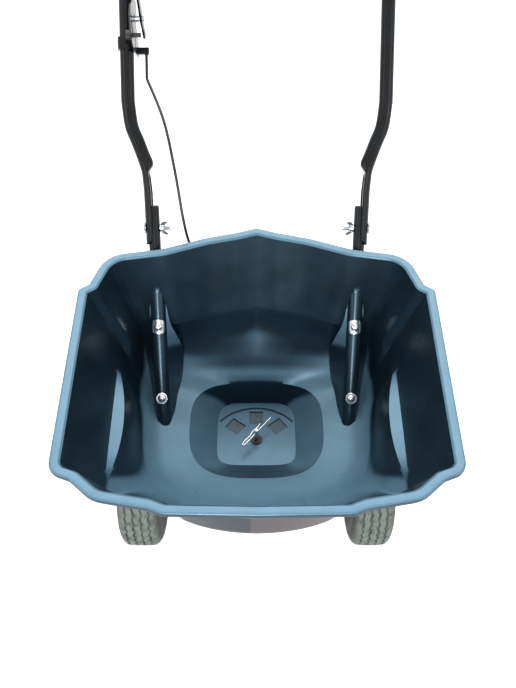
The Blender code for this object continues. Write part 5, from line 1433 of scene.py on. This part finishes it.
def make_rim(side_name, centre):
    """Moulded wheel rim with a ribbed web and a long hub."""
    outer = TYRE_BEAD - GAP
    edge = RIM_BEAD + 0.004
    lip = outer + RIM_LIP
    web = RIM_WEB
    half_hub = HUB_LENGTH / 2
    bore = AXLE_RADIUS + GAP
    one_side = [
        (HUB_RADIUS - 0.0010, half_hub),
        (HUB_RADIUS, half_hub - 0.0010),
        (HUB_RADIUS, web + 0.004),
        (HUB_RADIUS + 0.0012, web + 0.0012),
        (HUB_RADIUS + 0.004, web),
        (outer - 0.0110, web),
        (outer - 0.0078, web + 0.0014),
        (outer - 0.0066, web + 0.0050),
        (outer - 0.0040, edge - 0.0040),
        (outer - 0.0020, edge - 0.0010),
        (outer + 0.0010, edge + 0.0006),
        (lip - 0.0008, edge + 0.0010),
        (lip, edge + 0.0002),
        (lip, edge - 0.0012),
        (lip - 0.0008, edge - 0.0019),
        (outer, RIM_BEAD + GAP),
    ]
    profile = one_side + [(radius, -height) for radius, height in reversed(one_side)]
    profile += [(bore, -half_hub), (bore, half_hub)]
    rim = turned(f"wheel_disc_{side_name}", profile, centre, X_AXIS, 72)
    root = HUB_RADIUS - 0.001
    across = Matrix(((0, 1, 0, 0), (0, 0, 1, 0), (1, 0, 0, 0), (0, 0, 0, 1)))
    ribs = []
    for number in range(RIM_RIBS):
        spin = Matrix.Rotation(2 * math.pi * (number + 0.5) / RIM_RIBS, 4, "X")
        for face in (-1, 1):
            outline = [(root, face * web * 0.8), (outer - 0.004, face * web * 0.8),
                       (outer - 0.006, face * 0.0120), (root, face * 0.0260)]
            rib = slab("rib", outline, RIB_THICKNESS, None, 0.0007)
            rib.data.transform(Matrix.Translation(centre) @ spin @ across)
            ribs.append(tidy_mesh(rib))
    finish(joined(rim, *ribs), f"wheel_rim_{side_name}")


# Drive and agitator


SHAFT_CHAMFER = 0.0007
CLIP_DROP = 0.009

# Route of the clip's wire: reach along the clip and sideways, from the long end round the loop and back
CLIP_ROUTE = (
    (0.046, 0),
    (0.034, 0),
    (0.020, 0),
    (0.010, 0),
    (0, 0),
    (-0.012, 0),
    (-0.026, 0),
    (-0.036, 0.0006),
    (-0.0395, 0.0028),
    (-0.036, 0.0052),
    (-0.028, 0.0060),
    (-0.016, 0.0052),
    (-0.007, 0.0066),
    (0.000, 0.0074),
    (0.007, 0.0066),
    (0.014, 0.0060),
    (0.021, 0.0074),
)


def make_agitator():
    """The impeller's shaft, which ends above the hopper's floor, and the spring clip through it."""
    values = sizes()
    bottom = AXLE_HEIGHT + CROWN_RADIUS - 0.0035
    top = FLOOR_HEIGHT + SHAFT_ABOVE_FLOOR
    profile = [(0, top), (SHAFT_RADIUS - SHAFT_CHAMFER, top), (SHAFT_RADIUS, top - SHAFT_CHAMFER),
               (SHAFT_RADIUS, bottom), (0, bottom)]
    shaft = turned("drive_shaft", profile, (0, AXLE_Y, 0))
    middle = Vector((0, AXLE_Y, top - CLIP_DROP))
    along = Vector((math.cos(values.clip_angle), math.sin(values.clip_angle), 0))
    side = Vector((-along.y, along.x, 0))
    cut(shaft, bar("clip_hole", values.clip_radius + GAP, 0.03, along, middle, 16))
    finish(shaft, "impeller_shaft")
    points = [along * one + side * two + middle for one, two in CLIP_ROUTE]
    finish(pipe("spring_clip", smooth_path(points, 0.0012), values.clip_radius, 5), "agitator_clip")


CASE_EDGE = 0.002
NECK_RADIUS = 0.012
FLANGE_REACH = 0.008
FLANGE_EDGE = 0.0008
SCREW_RADIUS = 0.0030


def gear_case_solid(name, middle, with_neck):
    """The whole case round its cavity, with its flange and for the upper half the neck."""
    flat = CASE_RADIUS - CASE_EDGE
    near = CASE_RADIUS - CASE_EDGE * 0.3
    one_side = [(0, CASE_HALF_WIDTH), (flat, CASE_HALF_WIDTH), (near, CASE_HALF_WIDTH - CASE_EDGE * 0.3),
                (CASE_RADIUS, CASE_HALF_WIDTH - CASE_EDGE)]
    profile = one_side + [(radius, -height) for radius, height in reversed(one_side)]
    case = turned(name, profile, middle, X_AXIS, 64)
    width = 2 * CASE_HALF_WIDTH
    depth = CASE_RADIUS + FLANGE_REACH
    outline = [(-CASE_HALF_WIDTH, -depth), (CASE_HALF_WIDTH, -depth), (CASE_HALF_WIDTH, depth),
               (-CASE_HALF_WIDTH, depth)]
    cut(case, slab("flange", outline, 2 * CASE_WALL, Matrix.Translation(middle), FLANGE_EDGE), "UNION")
    cut(case, bar("cavity", CASE_RADIUS - CASE_WALL, width - 2 * CASE_WALL, X_AXIS, middle, 64))
    if with_neck:
        reach = NECK_TOP - AXLE_HEIGHT - (CASE_RADIUS - CASE_WALL) - 0.001
        neck = bar("neck", NECK_RADIUS, reach, Z_AXIS, (0, AXLE_Y, NECK_TOP - reach / 2), 48)
        bevelled(neck, FLANGE_EDGE, 40, 2)
        cut(case, neck, "UNION")
        cut(case, bar("shaft_bore", SHAFT_RADIUS + GAP, 0.12, Z_AXIS, (0, AXLE_Y, AXLE_HEIGHT + 0.08)))
    cut(case, bar("axle_bore", AXLE_RADIUS + GAP, width + 0.02, X_AXIS, middle, 48))
    return case


def make_gear_case():
    """Two halves of the gear case with a neck and screwed flanges."""
    middle = Vector((CASE_MIDDLE, AXLE_Y, AXLE_HEIGHT))
    for half, up in (("upper", 1), ("lower", -1)):
        case = gear_case_solid(f"case_{half}", middle, up > 0)
        other = slab("other_half", [(-0.05, -0.1), (0.05, -0.1), (0.05, 0.1), (-0.05, 0.1)], 0.1,
                     Matrix.Translation(middle - Vector((0, 0, up * (0.05 - GAP / 2)))))
        cut(case, other)
        screws = []
        for x, y in ((-1, -1), (1, -1), (-1, 1), (1, 1)):
            place = middle + Vector((x * 0.016, y * (CASE_RADIUS + 0.004), up * CASE_WALL))
            profile = dome(SCREW_RADIUS, 0.0016, 0.0, 5) + [(SCREW_RADIUS, -0.001), (0, -0.001)]
            screws.append(turned("screw", profile, place, (0, 0, up), 20))
        finish(joined(case, *screws), f"gear_case_{half}")


HUB_TOP = 0.028
VANE_START = 0.009
VANE_TIP = 0.011
VANE_THICKNESS = 0.0026


def make_impeller():
    """Disc with five vanes, a rolled rim and a hub."""
    top = IMPELLER_THICKNESS / 2
    bore = SHAFT_RADIUS + GAP
    profile = [
        (0.0095, HUB_TOP),
        (0.0110, HUB_TOP - 0.0015),
        (0.0112, top + 0.004),
        (0.0130, top + 0.001),
        (0.0170, top),
        (IMPELLER_RADIUS - 0.003, top),
        (IMPELLER_RADIUS - 0.001, top - 0.0003),
        (IMPELLER_RADIUS, 0.0),
        (IMPELLER_RADIUS - 0.001, -top + 0.0003),
        (IMPELLER_RADIUS - 0.003, -top),
        (0.011, -top),
        (bore, -top),
        (bore, HUB_TOP),
    ]
    middle = Vector((0, AXLE_Y, IMPELLER_HEIGHT))
    disc = turned("spinner_disc", profile, middle, Z_AXIS, 96)
    end = IMPELLER_RADIUS - 0.004
    outline = [(VANE_START, 0.0), (end, 0.0), (end, VANE_TIP), (end - 0.005, VANE_HEIGHT),
               (VANE_START, VANE_HEIGHT)]
    stand_up = Matrix(((1, 0, 0, 0), (0, 0, -1, 0), (0, 1, 0, 0), (0, 0, 0, 1)))
    vanes = []
    for vane in range(VANES):
        blade = slab("vane", outline, VANE_THICKNESS, None, 0.0006)
        spin = Matrix.Rotation(2 * math.pi * vane / VANES, 4, "Z")
        blade.data.transform(Matrix.Translation(middle) @ spin @ stand_up)
        vanes.append(tidy_mesh(blade))
    finish(joined(disc, *vanes), "impeller")


# Rate control

CONSOLE_X = -(HANDLE_HALF_WIDTH - HANDLE_RADIUS - GAP - CONSOLE_THICKNESS)
LEVER_X = CONSOLE_X + 0.0113
LEVER_PIVOT = Vector((LEVER_X, post_y(LEVER_HEIGHT), LEVER_HEIGHT))
LEVER_WIRE_X = LEVER_X + LEVER_THICKNESS / 2 + 0.0018
CABLE_START = Vector((WIRE_X, AXLE_Y + 0.172, SHUTTER_HEIGHT + WIRE_DROP))
LEVER_WIRE_MIDDLE = Vector((LEVER_WIRE_X, LEVER_PIVOT.y, LEVER_PIVOT.z)) - POST_OUT * LEVER_ARM
CABLE_END = LEVER_WIRE_MIDDLE - POST_UP * CABLE_BELOW_PIVOT
CABLE_STRAIGHT = 0.055
CABLE_ROUTE = (
    Vector((-0.044, 0.295, 0.300)),
    Vector((-0.070, 0.318, 0.360)),
    Vector((-0.104, 0.305, 0.480)),
    Vector((-0.127, 0.276, 0.600)),
    Vector((-0.137, 0.283, 0.660)),
    Vector((-0.150, 0.330, 0.730)),
    Vector((-0.170, 0.395, 0.795)),
)


def make_cable():
    """The rate cable's sheath on one smooth curve, straight where it leaves either end."""
    start = CABLE_START + Vector((0, CABLE_STRAIGHT, 0))
    run = [start, *CABLE_ROUTE, CABLE_END - POST_UP * CABLE_STRAIGHT]
    points = [CABLE_START] + smooth_path(run, 0.006) + [CABLE_END]
    finish(pipe("cable", points, CABLE_RADIUS, 6), "cable_housing", material=FINISHES["cable"])


# Knob: radius and height of its section, and the pocket that takes the lever
KNOB_SHAPE = (
    (0, 0.034),
    (0.0040, 0.0334),
    (0.0078, 0.0314),
    (0.0104, 0.0282),
    (0.0119, 0.0240),
    (0.0126, 0.0190),
    (0.0125, 0.0140),
    (0.0118, 0.0090),
    (0.0106, 0.0040),
    (0.0094, -0.0002),
    (0.0087, -0.0032),
    (0.0080, -0.0040),
    (0, -0.0040),
)
POCKET_HALF_THICKNESS = 0.0023
POCKET_HALF_WIDTH = 0.0066
POCKET_DEPTH = 0.030


def make_lever():
    """The lever's knob at rest, with a pocket for the flat lever."""
    rest = LEVER_SWING / 2
    tip = (POST_OUT * math.cos(rest) + POST_UP * math.sin(rest)).normalized()
    knob = turned("lever_grip", KNOB_SHAPE, LEVER_PIVOT + tip * (LEVER_LENGTH - 0.018), tip)
    half, wide = POCKET_HALF_THICKNESS, POCKET_HALF_WIDTH
    pocket = slab("pocket", [(-half, -wide), (half, -wide), (half, wide), (-half, wide)], POCKET_DEPTH)
    across = Vector(X_AXIS)
    place = Matrix((across, tip.cross(across), tip)).transposed().to_4x4()
    place.translation = LEVER_PIVOT + tip * (LEVER_LENGTH + GAP - POCKET_DEPTH / 2)
    pocket.data.transform(place)
    cut(knob, pocket)
    finish(knob, "lever_knob")


# Stage

# Camera: place from the middle of the rim, and its three angles
CAMERA_OFFSET = Vector((-0.00646, -0.86845, 0.99888))
CAMERA_YAW = math.radians(0.517)
CAMERA_PITCH = math.radians(48.99)
CAMERA_ROLL = math.radians(0.461)
SENSOR_WIDTH = 36

# Lamps: name, property that holds the power, width, height and place
LAMPS = (
    ("back_softbox", "back_power", 3.2, 2.6, (0, 1.5, 2.7)),
    ("left_softbox", "side_power", 1.2, 1.2, (-2.3, -0.9, 1.9)),
    ("right_softbox", "side_power", 1.2, 1.2, (2.3, -0.9, 1.9)),
    ("front_strip", "front_power", 0.35, 1.2, (-0.2, -3.0, 1.9)),
)
LAMP_TARGET = Vector((0, -0.12, 0.45))


def seen_directly(tree):
    """1 for the rays that show the background itself: camera, glossy and transmission rays."""
    rays = add_node(tree, "ShaderNodeLightPath")
    mirrored = add_node(tree, "ShaderNodeMath", {"operation": "MAXIMUM"},
                        [(0, rays, "Is Camera Ray"), (1, rays, "Is Glossy Ray")])
    return add_node(tree, "ShaderNodeMath", {"operation": "MAXIMUM"},
                    [(0, mirrored, 0), (1, rays, "Is Transmission Ray")])


def make_floor(values):
    """A large pale floor that keeps the shadow and is lifted to white where it is seen."""
    clear_selection()
    bpy.ops.mesh.primitive_plane_add(size=values.floor_size)
    floor = bpy.context.object
    floor.name = "floor"
    material = surface("pale_floor", tones_of("floor"), (60, 3.0, 0.3, 0.7), roughness=0.9, specular=0.1)
    tree, shader, place = nodes_of(material)
    glow = add_node(tree, "ShaderNodeEmission", {"Strength": values.floor_glow})
    dark = add_node(tree, "ShaderNodeEmission", {"Strength": 0.0})
    lifted = add_node(tree, "ShaderNodeMixShader", {},
                      [(0, seen_directly(tree), 0), (1, dark, 0), (2, glow, 0)])
    add_node(tree, "ShaderNodeAddShader", {}, [(0, shader, 0), (1, lifted, 0)],
             (0, tree.nodes["Material Output"], "Surface"))
    floor.data.materials.append(material)


def make_world(values):
    """White surroundings whose even light is weaker than what the camera sees."""
    world = bpy.data.worlds.new("white_room")
    bpy.context.scene.world = world
    world.use_nodes = True
    tree = world.node_tree
    tree.nodes.clear()
    white = (1, 1, 1, 1)
    fill = add_node(tree, "ShaderNodeBackground", {"Color": white, "Strength": values.world_light})
    backdrop = add_node(tree, "ShaderNodeBackground", {"Color": white, "Strength": 1.0})
    mix = add_node(tree, "ShaderNodeMixShader", {},
                   [(0, seen_directly(tree), 0), (1, fill, 0), (2, backdrop, 0)])
    add_node(tree, "ShaderNodeOutputWorld", {}, [(0, mix, 0)])


def make_lamps(values):
    """Soft lamps behind, at both sides and in front."""
    for name, power, width, height, position in LAMPS:
        lamp = bpy.data.lights.new(name, "AREA")
        lamp.shape = "RECTANGLE"
        lamp.size = width
        lamp.size_y = height
        lamp.energy = getattr(values, power)
        obj = bpy.data.objects.new(name, lamp)
        bpy.context.scene.collection.objects.link(obj)
        obj.location = position
        obj.rotation_euler = (LAMP_TARGET - Vector(position)).to_track_quat("-Z", "Y").to_euler()


def make_camera(values):
    """The camera in front of the machine, looking down into the hopper."""
    camera = bpy.data.objects.new("camera", bpy.data.cameras.new("camera"))
    bpy.context.scene.collection.objects.link(camera)
    camera.data.lens = values.lens
    camera.data.sensor_width = SENSOR_WIDTH
    camera.location = Vector((0, -MIDDLE_Y, RIM_HEIGHT)) + CAMERA_OFFSET
    ahead = math.cos(CAMERA_PITCH)
    forward = Vector((math.sin(CAMERA_YAW) * ahead, math.cos(CAMERA_YAW) * ahead, -math.sin(CAMERA_PITCH)))
    level = Vector((math.cos(CAMERA_YAW), -math.sin(CAMERA_YAW), 0))
    right = level * math.cos(CAMERA_ROLL) + level.cross(forward) * math.sin(CAMERA_ROLL)
    camera.rotation_euler = Matrix((right, right.cross(forward), -forward)).transposed().to_euler()
    bpy.context.scene.camera = camera


def make_stage():
    """Pale floor, white surroundings, soft lamps and the camera."""
    values = bpy.context.scene.spreader_stage
    make_floor(values)
    make_world(values)
    make_lamps(values)
    make_camera(values)
    bpy.context.scene.view_settings.view_transform = "Standard"


# Sizes and colours that a user can change


def colour(label, text, code):
    """A colour whose default is an sRGB hex value."""
    return bpy.props.FloatVectorProperty(name=label, description=text, default=linear(code), size=4,
                                         min=0.0, max=1.0, subtype="COLOR")


def length(label, text, metres):
    """A length in metres."""
    return bpy.props.FloatProperty(name=label, description=text, default=metres, min=0.0, precision=4,
                                   unit="LENGTH")


def rotation(label, text, degrees):
    """An angle, whose default is given in degrees."""
    return bpy.props.FloatProperty(name=label, description=text, default=math.radians(degrees),
                                   unit="ROTATION")


def watts(label, text, power):
    """The power of a lamp."""
    return bpy.props.FloatProperty(name=label, description=text, default=power, min=0.0, unit="POWER")


class SpreaderSizes(bpy.types.PropertyGroup):
    """Sizes of the pieces and of the marks on the hopper."""

    grip_length: length("Grip length", "Length of each foam grip", 0.130)
    grip_radius: length("Grip radius", "Outer radius of the foam grips", 0.0165)
    clip_radius: length("Clip radius", "Radius of the agitator clip's wire", 0.0015)
    clip_angle: rotation("Clip angle", "Direction in which the agitator clip points", 52)
    dial_radius: length("Dial radius", "Radius of the dial line behind the ports", 0.0970)
    dial_width: length("Dial width", "Width of the dial line", 0.0044)
    dial_depth: length("Dial depth", "Depth of the dial line in the hopper's floor", 0.0016)
    dial_angle: rotation("Dial angle", "Half of the angle that the dial line covers", 49)
    label_half_width: length("Label half width", "Half width of the bare label field", 0.118)
    label_low: length("Label bottom", "Drop of the label field's lower edge below the rim", 0.250)
    label_high: length("Label top", "Drop of the label field's upper edge below the rim", 0.060)
    groove_half: length("Groove half width", "Half width of the grooves in the tread", 0.0021)
    groove_depth: length("Groove depth", "Depth of the grooves in the tread", 0.0050)
    zigzag: length("Zigzag", "Sideways swing of the grooves in the tread", 0.0016)


class SpreaderColours(bpy.types.PropertyGroup):
    """Darker and lighter tone of each finish."""

    hopper_plastic_dark: colour("Hopper, dark", "Darker tone of the hopper", "0E1922")
    hopper_plastic_light: colour("Hopper, light", "Lighter tone of the hopper", "12202B")
    # Colour of the hopper's painted sheen, which stands in for light falling on its flat faces
    hopper_film: colour("Hopper film", "Pale film where the load slides", "5E8094")
    # Tones of the faces without the painted sheen, darker than the hopper's: painted shade in the ports and
    # the dial line
    bare_hopper_dark: colour("Bare hopper, dark", "Darker tone of the hopper's unworn places", "0C151D")
    bare_hopper_light: colour("Bare hopper, light", "Lighter tone of the hopper's unworn places", "101C26")
    label_dark: colour("Label, left", "Field on the label's left", "16222F")
    label_light: colour("Label, right", "Field on the label's right", "4A4347")
    black_steel_dark: colour("Coated steel, dark", "Darker tone of the powder coat", "0B0E11")
    black_steel_light: colour("Coated steel, light", "Lighter tone of the powder coat", "10151A")
    zinc_dark: colour("Zinc, dark", "Darker tone of the zinc plating", "B9BEC2")
    zinc_light: colour("Zinc, light", "Lighter tone of the zinc plating", "D2D5D6")
    bright_steel_dark: colour("Stainless, dark", "Darker tone of the stainless steel", "D2D5D8")
    bright_steel_light: colour("Stainless, light", "Lighter tone of the stainless steel", "E2E4E6")
    black_plastic_dark: colour("Black plastic, dark", "Darker tone of the black plastic", "24272A")
    black_plastic_light: colour("Black plastic, light", "Lighter tone of the black plastic", "2F3336")
    tyre_rubber_dark: colour("Tyre", "Clean rubber of the tyres", "2A2B29")
    tyre_rubber_light: colour("Tyre dust", "Dust on the tread", "788079")
    rim_plastic_dark: colour("Wheel rim, dark", "Darker tone of the wheel rims", "18191B")
    rim_plastic_light: colour("Wheel rim, light", "Lighter tone of the wheel rims", "222427")
    nylon_dark: colour("Nylon, dark", "Darker tone of the nylon", "D2CEBE")
    nylon_light: colour("Nylon, light", "Lighter tone of the nylon", "E0DDD0")
    foam_dark: colour("Foam, dark", "Bottom of the foam's cells", "0F0F10")
    foam_light: colour("Foam, light", "Edges of the foam's cells", "202022")
    knob_plastic_dark: colour("Knob, dark", "Darker tone of the lever's knob", "121416")
    knob_plastic_light: colour("Knob, light", "Lighter tone of the lever's knob", "1C1F22")
    cable_dark: colour("Cable, dark", "Darker tone of the cable's sheath", "16181A")
    cable_light: colour("Cable, light", "Lighter tone of the cable's sheath", "1E2022")
    # The shutter's tones are darkened as painted shade, for the sheet seen in shade through the ports
    shutter_dark: colour("Shutter, dark", "Darker tone of the shutter", "4C5E66")
    shutter_light: colour("Shutter, light", "Lighter tone of the shutter", "5D717A")
    floor_dark: colour("Floor, dark", "Darker tone of the floor", "E6E6E6")
    floor_light: colour("Floor, light", "Lighter tone of the floor", "EAEAEA")


class SpreaderStage(bpy.types.PropertyGroup):
    """Light, floor and camera."""

    floor_size: length("Floor size", "Side of the square floor", 30.0)
    floor_glow: bpy.props.FloatProperty(name="Floor glow", description="White added to the floor in view",
                                        default=0.6, min=0.0)
    world_light: bpy.props.FloatProperty(name="Fill light", description="Strength of the even light",
                                         default=0.42, min=0.0)
    back_power: watts("Back lamp", "Power of the lamp behind", 88.0)
    side_power: watts("Side lamps", "Power of the lamps at the sides", 7.0)
    front_power: watts("Front lamp", "Power of the narrow lamp in front", 70.0)
    lens: bpy.props.FloatProperty(name="Lens", description="Focal length of the camera",
                                  default=41.86, min=10.0, unit="CAMERA")


# Property groups by their name on the scene
GROUPS = {
    "spreader_sizes": SpreaderSizes,
    "spreader_colours": SpreaderColours,
    "spreader_stage": SpreaderStage,
}


# Operators


class SPREADER_OT_finishes(bpy.types.Operator):
    """Makes the finishes and gives them to the solid model"""

    bl_idname = "spreader.finishes"
    bl_label = "Finishes"
    bl_options = {"REGISTER", "UNDO"}

    def execute(self, context):
        make_finishes()
        return {"FINISHED"}


class SPREADER_OT_stage(bpy.types.Operator):
    """Makes the floor, the surroundings, the lamps and the camera"""

    bl_idname = "spreader.stage"
    bl_label = "Stage"
    bl_options = {"REGISTER", "UNDO"}

    def execute(self, context):
        make_stage()
        return {"FINISHED"}


class SPREADER_OT_hopper(bpy.types.Operator):
    """Models the hopper with its ridges, ports and marks"""

    bl_idname = "spreader.hopper"
    bl_label = "Hopper"
    bl_options = {"REGISTER", "UNDO"}

    def execute(self, context):
        make_hopper()
        return {"FINISHED"}


class SPREADER_OT_posts(bpy.types.Operator):
    """Models the frame tubes and their caps"""

    bl_idname = "spreader.posts"
    bl_label = "Frame tubes"
    bl_options = {"REGISTER", "UNDO"}

    def execute(self, context):
        make_posts()
        return {"FINISHED"}


class SPREADER_OT_stand(bpy.types.Operator):
    """Models the stand"""

    bl_idname = "spreader.stand"
    bl_label = "Stand"
    bl_options = {"REGISTER", "UNDO"}

    def execute(self, context):
        make_stand()
        return {"FINISHED"}


class SPREADER_OT_handle(bpy.types.Operator):
    """Models the handle with its crushed ends"""

    bl_idname = "spreader.handle"
    bl_label = "Handle"
    bl_options = {"REGISTER", "UNDO"}

    def execute(self, context):
        make_handle()
        return {"FINISHED"}


class SPREADER_OT_grips(bpy.types.Operator):
    """Models the foam grips"""

    bl_idname = "spreader.grips"
    bl_label = "Grips"
    bl_options = {"REGISTER", "UNDO"}

    def execute(self, context):
        make_grips()
        return {"FINISHED"}


class SPREADER_OT_hopper_bolts(bpy.types.Operator):
    """Models the hopper's bolts and washers"""

    bl_idname = "spreader.hopper_bolts"
    bl_label = "Hopper bolts"
    bl_options = {"REGISTER", "UNDO"}

    def execute(self, context):
        make_hopper_bolts()
        return {"FINISHED"}


class SPREADER_OT_joints(bpy.types.Operator):
    """Models the carriage bolts and wing nuts"""

    bl_idname = "spreader.joints"
    bl_label = "Handle joints"
    bl_options = {"REGISTER", "UNDO"}

    def execute(self, context):
        make_joint_hardware()
        return {"FINISHED"}


class SPREADER_OT_wheels(bpy.types.Operator):
    """Models the tyres and rims"""

    bl_idname = "spreader.wheels"
    bl_label = "Wheels"
    bl_options = {"REGISTER", "UNDO"}

    def execute(self, context):
        make_wheels()
        return {"FINISHED"}


class SPREADER_OT_agitator(bpy.types.Operator):
    """Models the shaft and its clip"""

    bl_idname = "spreader.agitator"
    bl_label = "Agitator"
    bl_options = {"REGISTER", "UNDO"}

    def execute(self, context):
        make_agitator()
        return {"FINISHED"}


class SPREADER_OT_gear_case(bpy.types.Operator):
    """Models the two halves of the gear case"""

    bl_idname = "spreader.gear_case"
    bl_label = "Gear case"
    bl_options = {"REGISTER", "UNDO"}

    def execute(self, context):
        make_gear_case()
        return {"FINISHED"}


class SPREADER_OT_impeller(bpy.types.Operator):
    """Models the spreading disc"""

    bl_idname = "spreader.impeller"
    bl_label = "Impeller"
    bl_options = {"REGISTER", "UNDO"}

    def execute(self, context):
        make_impeller()
        return {"FINISHED"}


class SPREADER_OT_cable(bpy.types.Operator):
    """Models the rate cable"""

    bl_idname = "spreader.cable"
    bl_label = "Cable"
    bl_options = {"REGISTER", "UNDO"}

    def execute(self, context):
        make_cable()
        return {"FINISHED"}


class SPREADER_OT_lever(bpy.types.Operator):
    """Models the lever's knob"""

    bl_idname = "spreader.lever"
    bl_label = "Lever"
    bl_options = {"REGISTER", "UNDO"}

    def execute(self, context):
        make_lever()
        return {"FINISHED"}


OPERATORS = (
    SPREADER_OT_finishes,
    SPREADER_OT_stage,
    SPREADER_OT_hopper,
    SPREADER_OT_posts,
    SPREADER_OT_stand,
    SPREADER_OT_handle,
    SPREADER_OT_grips,
    SPREADER_OT_hopper_bolts,
    SPREADER_OT_joints,
    SPREADER_OT_wheels,
    SPREADER_OT_agitator,
    SPREADER_OT_gear_case,
    SPREADER_OT_impeller,
    SPREADER_OT_cable,
    SPREADER_OT_lever,
)


class SPREADER_PT_panel(bpy.types.Panel):
    """Lists the sizes, the colours and the operators."""

    bl_label = "Broadcast spreader"
    bl_idname = "SPREADER_PT_panel"
    bl_space_type = "VIEW_3D"
    bl_region_type = "UI"
    bl_category = "Spreader"

    def draw(self, context):
        for group_name, group in GROUPS.items():
            box = self.layout.box()
            for name in group.__annotations__:
                box.prop(getattr(context.scene, group_name), name)
        for item in OPERATORS:
            self.layout.operator(item.bl_idname)


CLASSES = (*GROUPS.values(), *OPERATORS, SPREADER_PT_panel)


def register():
    for item in CLASSES:
        bpy.utils.register_class(item)
    for name, group in GROUPS.items():
        setattr(bpy.types.Scene, name, bpy.props.PointerProperty(type=group))


def unregister():
    for name in GROUPS:
        delattr(bpy.types.Scene, name)
    for item in reversed(CLASSES):
        bpy.utils.unregister_class(item)


def main():
    """Makes the whole spreader."""
    register()
    bpy.ops.spreader.finishes()
    bpy.ops.spreader.stage()
    bpy.ops.spreader.hopper()
    bpy.ops.spreader.posts()
    bpy.ops.spreader.stand()
    bpy.ops.spreader.handle()
    bpy.ops.spreader.grips()
    bpy.ops.spreader.hopper_bolts()
    bpy.ops.spreader.joints()
    bpy.ops.spreader.wheels()
    bpy.ops.spreader.agitator()
    bpy.ops.spreader.gear_case()
    bpy.ops.spreader.impeller()
    bpy.ops.spreader.cable()
    bpy.ops.spreader.lever()


if __name__ == "__main__":
    main()
